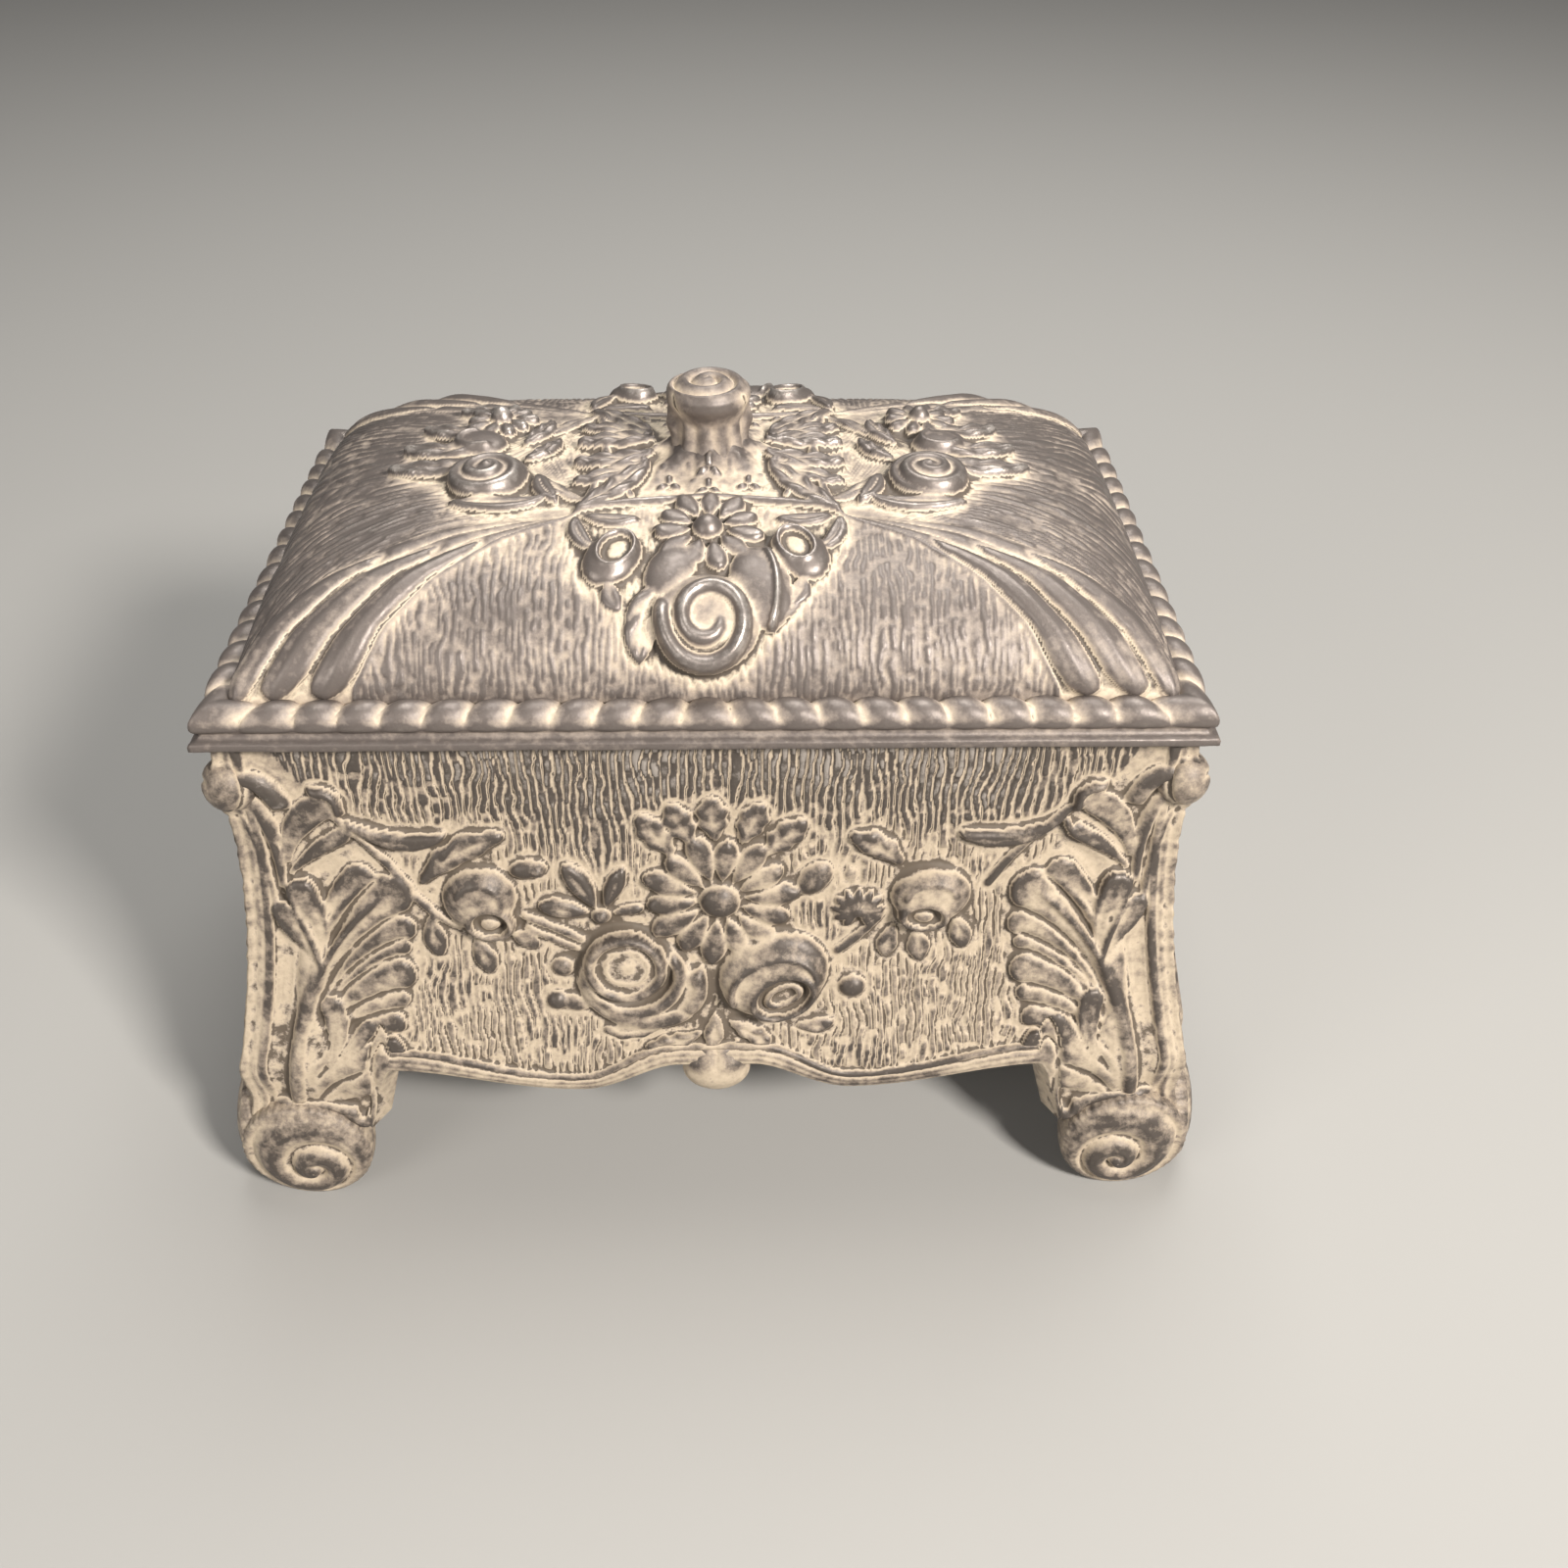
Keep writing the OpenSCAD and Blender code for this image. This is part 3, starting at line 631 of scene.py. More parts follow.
def bouquet_side(r):
    """The flowers of the short panels: an open rose between two daisies and leaves."""
    veined = {"veins": 3, "rim": 0.25}
    for side in (-1, 1):
        r.strand(bend((side * 21.5, 55.2), (side * 17, 50.0), (side * 11.5, 46.0)), 0.55, 0.85)
        r.leaf(bend((side * 19.8, 53.2), (side * 15.5, 49.4), (side * 10.8, 52.0)), 1.2, 1.3)
        r.daisy(side * 9.2, 42.0, 4.2, 10, 1.1, 1.3, start=0.3)
        for base, pull, tip, wide, notch in (
            ((3.0, 44.5), (4.5, 48.5), (7.6, 51.0), 1.6, 0.1),
            ((4.0, 34.0), (7.0, 31.0), (10.6, 30.6), 1.7, 0.1),
            ((2.0, 31.5), (3.5, 28.0), (6.6, 26.2), 1.4, 0.0),
        ):
            r.leaf(bend(base, pull, tip) * (side, 1), wide, 0.9, notch=notch, **veined)
        r.oval(side * 9.6, 35.0, 1.4, 1.2, 0, 1.2)
    r.leaf(bend((0, 45.0), (0, 48.5), (0, 53.0)), 1.7, 0.9, notch=0.1, **veined)
    r.rose(0, 38.6, 5.6, 2.5, petals=3)


def wall_relief(x, z, w, bottom, flowers, seed, flat=None):
    """Height of a panel's relief over its plate, its distance from the corner, how much of
    it is bare ground, and where the patina has stayed pale in the cups of the flowers.
    flat is a box (half width, height) at the top middle that is left plain."""
    corner = w / 2 + swing(z) - np.abs(x)
    ground = BARK_H * bark(x, z, seed)
    if flat:
        plain = (1 - smooth(np.abs(x), flat[0], flat[0] + 0.8)) * smooth(z, flat[1] - 0.8, flat[1])
        ground = ground * (1 - plain)
    r = Relief(x, z)
    flowers(r)
    q = np.abs(x) - w / 2
    ornament = acanthus(r.h, q, z)
    ornament = 0.25 * ornament + 0.75 * blurred(ornament, 1)
    edge_z, edge_q = zip(*LEG_EDGE)
    ground = ground * smooth(np.interp(z, edge_z, edge_q) - q, 0.0, 1.2)
    # a smooth skirt round every raised shape, where the ground dies away
    skirt = smooth(blurred(np.minimum(ornament, 0.5), 2), 0.002, 0.08)
    h = np.maximum(ground * (1 - skirt) + 0.14 * skirt, ornament)
    # moulding along the apron: two fine ridges with a groove between
    slope = np.gradient(bottom) / np.maximum(np.gradient(x[0]), 1e-6)
    edge = (z - bottom[None, :]) / np.sqrt(1 + np.minimum(slope, 3.0) ** 2)[None, :]
    inner = 1 - smooth(q, -12.5, -10.5)
    low_ridge = 0.7 * cap((edge - 0.9) / 0.95) ** 0.5 + 0.05 * np.cos(edge * 9) * (edge < 1.8)
    fillet = np.maximum(low_ridge, 0.8 * cap((edge - 2.35) / 0.5))
    h = np.maximum(h * (1 - inner * (edge < 2.8)), fillet * inner)
    # the lowest leaf rolls forward over the scroll
    lip = smooth(q, -12.5, -9.5) * (1 - smooth(q, -1.5, 1.5))
    h = np.maximum(h * (1 - 0.6 * lip * (edge < 1.6)), 1.5 * lip * cap((edge - 0.9) / 1.0))
    # the leg's outer band beside the seam, and the leg's round face over the foot
    band = (1 - smooth(corner, 2.4, 3.0)) * smooth(z, 12, 20)
    h = np.maximum(h, band * (0.45 + 0.25 * cap((corner - 2.2) / 0.6)))
    return h, corner, np.clip(ground / BARK_H, 0, 1) * (1 - skirt), r.pale


def seam(z):
    """How far the corner itself stands out at height z: a rough solder bead."""
    return 0.35 + 0.2 * (field(z / 0.9, z * 0, 5) - 0.5) + 0.5 * cap((z - EAR_Z) / SEAM_REACH)


def wall_panel(name, w, d, angle, columns, flowers, seed, flat=None):
    """A panel w wide, facing -Y and then turned by angle: rows run from the lower edge to
    the top, and columns fan out as the panel does. Its points move out along the plate's
    normal by the relief, and near a corner they also spread sideways to meet the next panel."""
    a = np.linspace(-1, 1, columns + 1)
    edge_x = a * (w / 2)
    # the lower edge's width depends on its height, and its height on its width: it settles
    for _ in range(8):
        edge_x = a * (w / 2 + swing(panel_bottom(edge_x, w)))
    bottom = panel_bottom(edge_x, w)
    # the lower quarter of the rows follows that edge, and the others are level
    low_rows, even_z = PANEL_ROWS // 4, 25.0
    rise = np.linspace(0, 1, low_rows, endpoint=False)[:, None]
    level = np.linspace(even_z, WALL_TOP, PANEL_ROWS + 1 - low_rows)[:, None]
    z = np.concatenate([bottom + (even_z - bottom) * rise, level + 0 * bottom])
    x = a * (w / 2 + swing(z))
    h, corner, ground, pale = wall_relief(x, z, w, bottom, flowers, seed, flat)
    stand = seam(z)
    share = cap(corner / SEAM_REACH) * (corner < SEAM_REACH)
    ear = stand * share ** 1.2
    ridge = 0.12 * np.cos(corner * 5.2) * smooth(corner, 0.2, 0.8) * (corner < 2.6)
    h = np.where(corner < SEAM_REACH, np.maximum(h * smooth(corner, 0.2, 1.6), ear + ridge), h)
    h = h * smooth(WALL_TOP - z, -0.2, 0.5)
    step = 0.05
    slope = (swing(z + step) - swing(z - step)) / (2 * step)
    length = np.sqrt(1 + slope ** 2)
    outward = np.stack([np.zeros_like(z), -1 / length, -slope / length], -1)
    base = np.stack([x, -(d / 2 + swing(z)), z], -1)
    front = base + outward * h[..., None]
    front[..., 0] += np.sign(x) * h * np.clip(1 - corner / 1.2, 0, 1)
    front[..., 2] = np.minimum(front[..., 2], WALL_TOP)
    coarse = (slice(None, None, COARSE), slice(None, None, COARSE))
    back = base[coarse] - outward[coarse] * WALL_T
    half = w / 2 + swing(z[coarse])
    back[..., 0] *= (half - WALL_T) / half
    back[..., 2] = np.minimum(back[..., 2], WALL_TOP)
    points, faces, fine = closed_sheet(front, back)
    # painted shade from the lid's rim darkens the ground across the panel just under the lid, and a
    #     # darker patina lies lower in its middle; the low part of the panel is palest
    middle = 1 - smooth(np.abs(x), 0.22 * w, 0.46 * w)
    rim_shade_and_patina = (0.20 * smooth(z, 44, 56) * middle + 0.20 * smooth(z, 52, 62)) * (ground > 0.02)
    stain_and_crease_shade = 0.24 * (field(x / 6.0, z / 5.0, seed + 9) - 0.5)
    # the creases at the foot of each step are darkened as painted shade
    stain_and_crease_shade = stain_and_crease_shade - 0.2 * pale - 0.07 * (1 - smooth(z, 30, 44)) - 2.2 * crease_shade(h)
    made = build(f"{name}_relief", spun(points, angle), faces, fine,
                 wear=worn(h), height=h, tone=rim_shade_and_patina + stain_and_crease_shade)
    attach(made, "box")
    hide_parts(name)
    return made


# the back is left plain where the hinge's leaf lies: half its width, and its lower edge
HINGE_PLACE = (15.4, 53.8)
walls = [
    wall_panel(*PANELS[0], LONG_COLUMNS, bouquet_front, seed=11),
    wall_panel(*PANELS[1], LONG_COLUMNS, bouquet_front, seed=23, flat=HINGE_PLACE),
    wall_panel(*PANELS[2], SHORT_COLUMNS, bouquet_side, seed=37),
    wall_panel(*PANELS[3], SHORT_COLUMNS, bouquet_side, seed=41),
]


def add(tree, kind, settings=(), inputs=(), **links):
    """Adds one node, sets its properties and its inputs, and links named inputs to sockets."""
    made = tree.nodes.new("ShaderNode" + kind)
    for key, value in dict(settings).items():
        setattr(made, key, value)
    for key, value in dict(inputs).items():
        made.inputs[key].default_value = value
    for key, socket in links.items():
        place = int(key[1:]) if key[0] == "i" and key[1:].isdigit() else key.replace("_", " ")
        tree.links.new(made.inputs[place], socket)
    return made


def cast_metal(name, stops, *, lift, height_gain, base, speck, broad, metallic, dull, bright):
    """A toned casting. How rubbed a point is comes from base, plus wear, its height over its
    surroundings, times lift, plus height_gain of its height, plus its tone, plus fine noise
    of size speck and broad noise of size broad. The tone holds patina and painted shade: the
    creases, and on the walls a band under the lid's rim. A ramp of stops turns the sum to
    colour, and the rubbed part is metallic, and smoother: from dull to bright."""
    scaled, total = {"operation": "MULTIPLY_ADD"}, {"operation": "ADD"}
    made, tree, shader = new_material(name)
    place = add(tree, "TexCoord")
    wear = add(tree, "Attribute", {"attribute_name": "wear"})
    height = add(tree, "Attribute", {"attribute_name": "height"})
    zoned = add(tree, "Attribute", {"attribute_name": "tone"})
    at = place.outputs["Object"]
    # freckles of patina about 1.5 mm across, the grain of the casting at about 0.5 mm, and
    # patches some 25 mm wide where hands and dusters have gone
    mottle = add(tree, "TexNoise", inputs={"Scale": 640, "Detail": 6, "Roughness": 0.7}, Vector=at)
    grain = add(tree, "TexNoise", inputs={"Scale": 1800, "Detail": 4, "Roughness": 0.7}, Vector=at)
    patch = add(tree, "TexNoise", inputs={"Scale": 42, "Detail": 3}, Vector=at)
    local = add(tree, "Math", scaled, {1: lift, 2: base}, i0=wear.outputs["Fac"])
    tall = add(tree, "Math", scaled, {1: height_gain}, i0=height.outputs["Fac"], i2=local.outputs[0])
    fleck = add(tree, "Math", scaled, {1: speck, 2: -speck / 2}, i0=mottle.outputs["Fac"])
    zone = add(tree, "Math", scaled, {1: broad, 2: -broad / 2}, i0=patch.outputs["Fac"])
    toned = add(tree, "Math", total, i0=tall.outputs[0], i1=zoned.outputs["Fac"])
    both = add(tree, "Math", total, i0=toned.outputs[0], i1=fleck.outputs[0])
    # the sum carries wear and patina, and through the tone also the painted shade of the creases and of the
    # lid's rim
    rubbed = add(tree, "Math", {**total, "use_clamp": True}, i0=both.outputs[0], i1=zone.outputs[0])
    tone = add(tree, "ValToRGB", Fac=rubbed.outputs[0])
    while len(tone.color_ramp.elements) < len(stops):
        tone.color_ramp.elements.new(0.5)
    for element, (at_value, colour) in zip(tone.color_ramp.elements, stops):
        element.position = at_value
        element.color = linear(colour)
    metal = add(tree, "MapRange", inputs={"From Min": 0.36, "From Max": 0.7, "To Max": metallic},
                Value=rubbed.outputs[0])
    polish = {"From Min": 0.30, "From Max": 0.85, "To Min": dull, "To Max": bright}
    rough = add(tree, "MapRange", inputs=polish, Value=rubbed.outputs[0])
    micro = add(tree, "Bump", inputs={"Strength": 0.35, "Distance": 0.00012}, Height=grain.outputs["Fac"])
    tree.links.new(shader.inputs["Base Color"], tone.outputs["Color"])
    tree.links.new(shader.inputs["Metallic"], metal.outputs["Result"])
    tree.links.new(shader.inputs["Roughness"], rough.outputs["Result"])
    tree.links.new(shader.inputs["Normal"], micro.outputs["Normal"])
    return made


# Toned spelter: a soft grey casting metal under a tan patina. The hollows stay tan and
# # chalky, and the rubbed high spots show dark metal with a dull shine. The darkest stop is
# # reached mostly where the creases at the foot of each step are darkened as painted shade.
SPELTER_STOPS = ((0.0, "#5a5045"), (0.05, "#93877a"), (0.15, "#b8a994"), (0.30, "#a89a87"),
                 (0.45, "#85796d"), (0.60, "#4f4843"), (0.80, "#5d5650"), (1.0, "#a59d96"))
spelter = cast_metal("toned spelter", SPELTER_STOPS, lift=1.5, height_gain=-0.06, base=0.38,
                     speck=0.95, broad=0.30, metallic=0.50, dull=0.66, bright=0.36)
for wall in walls:
    wall.data.materials.append(spelter)

# The drop in the middle of each apron: a ball under small sepals, cast with the panel.
# It is a sphere in theta and phi, drawn out upwards, whose radius swells in three sepals.
DROP_Z, DROP_W, DROP_H, DROP_OUT = 18.6, 3.9, 3.4, 2.5
for panel, w, d, angle in PANELS:
    theta = np.linspace(0.08, math.pi - 0.08, 48)[:, None]
    phi = np.linspace(0, 2 * math.pi, 72, endpoint=False)[None, :]
    top = np.clip(np.cos(theta), 0, 1)
    sepal = 0.55 * smooth(top, 0.15, 0.5) * np.abs(np.cos(1.5 * (phi + math.pi / 2))) ** 0.7
    x = (DROP_W - 0.6 * top + sepal) * np.sin(theta) * np.cos(phi)
    z = DROP_Z + DROP_H * np.cos(theta) * (1 + 0.4 * top) + 0 * phi
    out = d / 2 + swing(z) - 0.9 + (DROP_OUT - 0.4 * top + sepal) * np.sin(theta) * np.sin(phi)
    grid = spun(np.stack([x, -out, z], -1), angle)
    k = np.arange(z.size).reshape(z.shape)
    faces = ring_faces(k) + [k[0].tolist(), k[-1].tolist()]
    drop = build(f"{panel}_drop", grid.reshape(-1, 3), faces,
                 wear=0.4 * sepal - 0.06, height=sepal * 0 + 0.8)
    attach(drop, "box")
    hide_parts(panel)
    drop.data.materials.append(spelter)


# ---------------------------------------------------------------------------------------
# Feet and ears: each leg ends in two snail-like scrolls, one on the long panel and one on
# the short one. A small ball-shaped scroll ends each corner below the lid. All are cast
# with the panels in the same metal.
# ---------------------------------------------------------------------------------------


def wrapped(grid):
    """Points and faces of a closed skin: each row of points is a ring, and a fan closes the
    first and the last ring on a point at its middle."""
    k = np.arange(grid.shape[0] * grid.shape[1]).reshape(grid.shape[:2])
    first, last = k.size, k.size + 1
    fans = [[int(b), int(a), first] for a, b in zip(k[0], np.roll(k[0], -1))]
    fans += [[int(a), int(b), last] for a, b in zip(k[-1], np.roll(k[-1], -1))]
    points = np.concatenate([grid.reshape(-1, 3), [grid[0].mean(0)], [grid[-1].mean(0)]])
    return points, ring_faces(k) + fans


def scroll_face(rho, theta, turns):
    """The snail: a dome whose height steps in along a spiral, so that each whorl is a round
    roll with a groove between, with a small eye. From 0 to about 1."""
    whorl = turns * (1 - rho ** 0.9) - theta / (2 * math.pi)
    roll = np.sin(math.pi * (whorl - np.floor(whorl)) ** 0.75) ** 0.75
    dome = np.sqrt(np.clip(1 - (0.97 * rho) ** 2, 0, 1))
    edge = smooth(1 - rho, 0, 0.12)
    made = dome * (0.56 + 0.44 * (roll * edge + 1 - edge)) + 0.012 * np.cos(whorl * 26) * edge
    return np.maximum(made, 1.02 * cap(rho / 0.2))


def scroll(name, panel, centre, hand, reach, angle):
    """One scroll on a panel that faces -Y and is then turned by angle. Rings run from its
    flat back, over its rim, and in to the eye, which sits low and towards the middle. hand
    is the side that it winds to, and reach is how far out the panel's foot stands."""
    back, front, top = reach - 4.4, reach - 1.1, reach + 2.0
    rings, around = 64, 160
    theta = np.linspace(0, 2 * math.pi, around, endpoint=False)[None, :]
    t = np.linspace(0, 1, rings)[:, None]
    rho = np.where(t < 0.1, 0.6 + 4 * t, np.where(t < 0.25, 1.0, 1 - (t - 0.25) / 0.765))
    side = np.clip((t - 0.1) / 0.15, 0, 1)
    turns, start = 2.05, math.radians(75)
    lift = scroll_face(np.minimum(rho, 1), theta - start, turns)
    out = np.where(t <= 0.25, back + (front - back) * side, front + (top - front) * lift)
    flute = 0.10 * np.cos(theta * 46) * (side > 0) * (t <= 0.3)
    r = (VOLUTE_R + flute) * rho - 0.5 * (t < 0.25) * (1 - side) ** 3
    x = centre + hand * (r * np.cos(theta) + 0.9 * (1 - rho ** 2) * (t > 0.25))
    z = VOLUTE_Z + r * np.sin(theta) - 1.5 * (1 - rho ** 2) * (t > 0.25)
    grid = np.stack([x + 0 * z, -out + 0 * z, np.maximum(z, 0)], -1)
    points, faces = wrapped(spun(grid, angle))
    dome = np.sqrt(np.clip(1 - (0.97 * rho) ** 2, 0, 1))
    high = np.where(t > 0.25, (lift - dome * 0.84) * 1.2, 0.02) + 0 * theta
    made = build(name, points, faces, wear=high, height=high * 0 + 0.6, tone=high * 0 + 0.03)
    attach(made, "box")
    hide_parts(panel)
    made.data.materials.append(spelter)
    return made


# how far a scroll's or an ear's middle is in from the lid's edge
CORNER_IN = 2.3
for panel, w, d, angle in PANELS:
    for side, hand in (("a", 1), ("b", -1)):
        # hand 1 is the scroll on the left of its panel, as one looks at it
        foot_out = d / 2 + FLARE - TOP_INSET
        scroll(f"{panel}_scroll_{side}", panel, -hand * (w / 2 - CORNER_IN), hand, foot_out, angle)

# an ear's radius, and the height of its middle
EAR_R, EAR_MID_Z = 2.85, 57.5
for name, across, along_y in (("ear_lf", -1, -1), ("ear_rf", 1, -1), ("ear_lb", -1, 1), ("ear_rb", 1, 1)):
    phi = np.linspace(0, 2 * math.pi, 64, endpoint=False)[None, :]
    theta = np.linspace(0.06, math.pi - 0.06, 36)[:, None]
    # a ball whose radius dips along a spiral line round its outward axis
    turn = (phi / (2 * math.pi) + theta / 1.5) % 1
    radius = EAR_R - 0.34 * np.exp(-((turn - 0.5) / 0.09) ** 2) * smooth(theta, 0.2, 0.7)
    sideways = radius * np.sin(theta) * np.cos(phi)
    outwards = radius * np.cos(theta) + 0 * phi
    upwards = radius * 1.08 * np.sin(theta) * np.sin(phi)
    face = math.radians(45)
    x = sideways * math.cos(face) + outwards * math.sin(face)
    y = -sideways * math.sin(face) + outwards * math.cos(face)
    x, y = across * (LID_W / 2 - CORNER_IN + x), along_y * (LID_D / 2 - CORNER_IN + y)
    points, faces = wrapped(np.stack([x, y, EAR_MID_Z + upwards], -1))
    ear = build(name, points, faces, wear=(radius - 2.78) * 1.2 + 0 * phi, height=radius * 0 + 0.4)
    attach(ear, "box")
    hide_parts("front_wall" if along_y < 0 else "back_wall")
    ear.data.materials.append(spelter)


# ---------------------------------------------------------------------------------------
# Lid: one domed casting in the same metal, rubbed brighter than the box by handling. Three
# rolls fan from each corner of the middle panel to the rim, with striated panels between
# them, and sprays of flowers lie on all four sides. A flower bud on a stem is the knob.
# ---------------------------------------------------------------------------------------
DOME_Z, DOME_H, DOME_T = 66.0, 12.3, 2.0
DOME_X, DOME_Y = LID_W / 2 - 3.4, LID_D / 2 - 3.4


def dome_z(x, y, half_x, half_y, rise):
    """Dome over a rectangle: its foot plus rise times the square root of
    (1 - |x/half_x|^5)(1 - |y/half_y|^3)."""
    along_x = np.clip(1 - np.abs(x / half_x) ** 5, 0, 1)
    along_y = np.clip(1 - np.abs(y / half_y) ** 3, 0, 1)
    return DOME_Z + rise * np.sqrt(along_x * along_y)


def even(half, count, axis):
    """Places from -half to half that are evenly spaced along the dome's curved surface, and
    each one's length of surface from the middle."""
    t = np.sin(np.linspace(0, math.pi / 2, 4001)) * half
    z = dome_z(t, t * 0, half, 1, DOME_H) if axis == 0 else dome_z(t * 0, t, 1, half, DOME_H)
    run = np.concatenate([[0], np.cumsum(np.hypot(np.diff(t), np.diff(z)))])
    want = np.linspace(-run[-1], run[-1], count + 1)
    return np.sign(want) * np.interp(np.abs(want), run, t), want


# the rolls' edges, as points from the middle panel's corner to the rim
ROLL_EDGES = (
    ((14, 12), (21, 15.7), (27.4, 20.9), (31.9, 26.2), (34.8, 32.2), (35.4, 36)),
    ((14, 11.9), (24, 15.8), (31.4, 20.6), (36.7, 26.7), (40.4, 32.6), (41.2, 36)),
    ((14, 11.8), (26, 14.9), (35.5, 19.9), (41.8, 25.5), (45.4, 31.2), (46.2, 36)),
    ((14, 11.7), (28, 13.9), (38.6, 18.6), (45.6, 23.4), (50.0, 28.6), (52.0, 36)),
)


def spray_front(r, y):
    """Flowers hanging from the middle panel over the front: a daisy, a spiral rose and two
    half-open cups. r holds x and the length of surface, and y gives the side, -1 or 1."""
    for side in (-1, 1):
        r.leaf(bend((13.6, 12.8), (13.6, 16.4), (11.2, 18.0)) * (side, y), 1.0, 1.0, rim=0.3)
        r.leaf(bend((12.8, 12.6), (9.6, 14.0), (7.0, 13.0)) * (side, y), 1.0, 0.9, rim=0.3)
    r.leaf(bend((-3.6, y * 22.0), (-6.8, y * 24.5), (-6.6, y * 30.2)), 2.0, 0.9, veins=3, rim=0.4)
    r.leaf(bend((4.0, y * 26.0), (7.6, y * 26.0), (9.6, y * 22.6)), 1.2, 0.7, veins=2, rim=0.2)
    r.oval(5.3, y * 22.4, 3.2, 5.0, -12 * y, 1.7, 0.7)
    r.strand(bend((5.6, y * 18.0), (8.0, y * 22.0), (6.2, y * 27.4)), 0.6, 2.1)
    r.oval(-3.6, y * 20.6, 2.6, 3.8, 25 * y, 1.5, 0.8)
    # the cups
    for cx, cy, turn in ((-9.5, 19.0, 30), (9.3, 18.4, -30)):
        r.oval(cx, y * cy, 2.8, 3.7, turn * y, 1.9, 0.7)
        mouth = (cx - 0.4 * np.sign(cx), y * (cy - 0.5))
        r.pit(*mouth, 1.6, 2.2, turn * y, 1.0)
        r.ring(*mouth, 1.7, 2.3, turn * y, 0.45, 2.1)
        r.oval(*mouth, 1.2, 1.7, turn * y, 1.35, 0.4)
        below = bend((cx, y * (cy + 3)), (cx * 1.05, y * (cy + 4.6)), (cx * 0.9, y * (cy + 6.0)))
        r.leaf(below, 1.1, 0.8, rim=0.3)
    # the spiral rose: a band that winds in twice round a rolled heart
    r.oval(0.1, y * 26.2, 5.3, 5.0, 0, 2.0, 0.6)
    wind = np.linspace(0, 3.6 * math.pi, 60)
    reach = 4.3 * (1 - wind / wind[-1]) ** 0.75 + 0.3
    coil = np.stack([0.1 + reach * np.cos(wind + 2.6), y * (26.2 - reach * np.sin(wind + 2.6))], -1)
    r.strand(coil, 1.15, 2.9)
    # the daisy
    r.daisy(0, y * 15.0, 5.9, 11, 1.25, 1.75, turn=0.2 * y, start=0.34)


def spray_end(r, side):
    """Flowers on the ends: a cup rose, an open rose or daisy, long leaves and buds."""
    r.leaf(bend((side * 17.0, -9.2), (side * 20.0, -11.4), (side * 27.0, -9.6)), 1.2, 1.0, rim=0.3)
    r.leaf(bend((side * 15.6, -10.0), (side * 17.6, -8.6), (side * 18.2, -4.6)), 1.1, 1.1, rim=0.3)
    for base, pull, tip, wide in (
        ((23, -2), (29, -3.2), (35, -1.0), 1.5), ((24, 1.5), (29, 1.0), (34.0, 3.4), 1.6),
        ((24, 5), (29, 6), (32.5, 8.2), 1.4), ((20.5, 3), (18.4, 5), (17.8, 8.4), 1.2),
        ((23, 9.5), (25.5, 12.0), (29, 12.6), 1.2), ((20, -1), (17.4, 0.6), (16.4, 3.4), 1.0),
    ):
        path = bend(base, pull, tip) * (side, 1)
        r.leaf(path, wide, 1.2, veins=3, rim=0.35)
    r.oval(side * 25.5, 3.0, 3.2, 2.8, 15 * side, 1.7, 0.6)
    r.ring(side * 25.5, 3.0, 2.2, 1.8, 15 * side, 0.5, 2.0, gap=(40, 50))
    r.oval(side * 28.6, -1.6, 1.8, 1.4, 30 * side, 1.3)
    r.rose(side * 23.4, -5.2, 4.4, 2.7, turn=0.6 if side < 0 else 2.4, petals=2.4, hand=side)
    r.oval(side * 23.2, -5.4, 1.9, 1.8, 0, 2.5, 0.4)
    r.daisy(side * 23.6, 8.6, 4.2, 10, 1.5, 1.5, start=0.32)


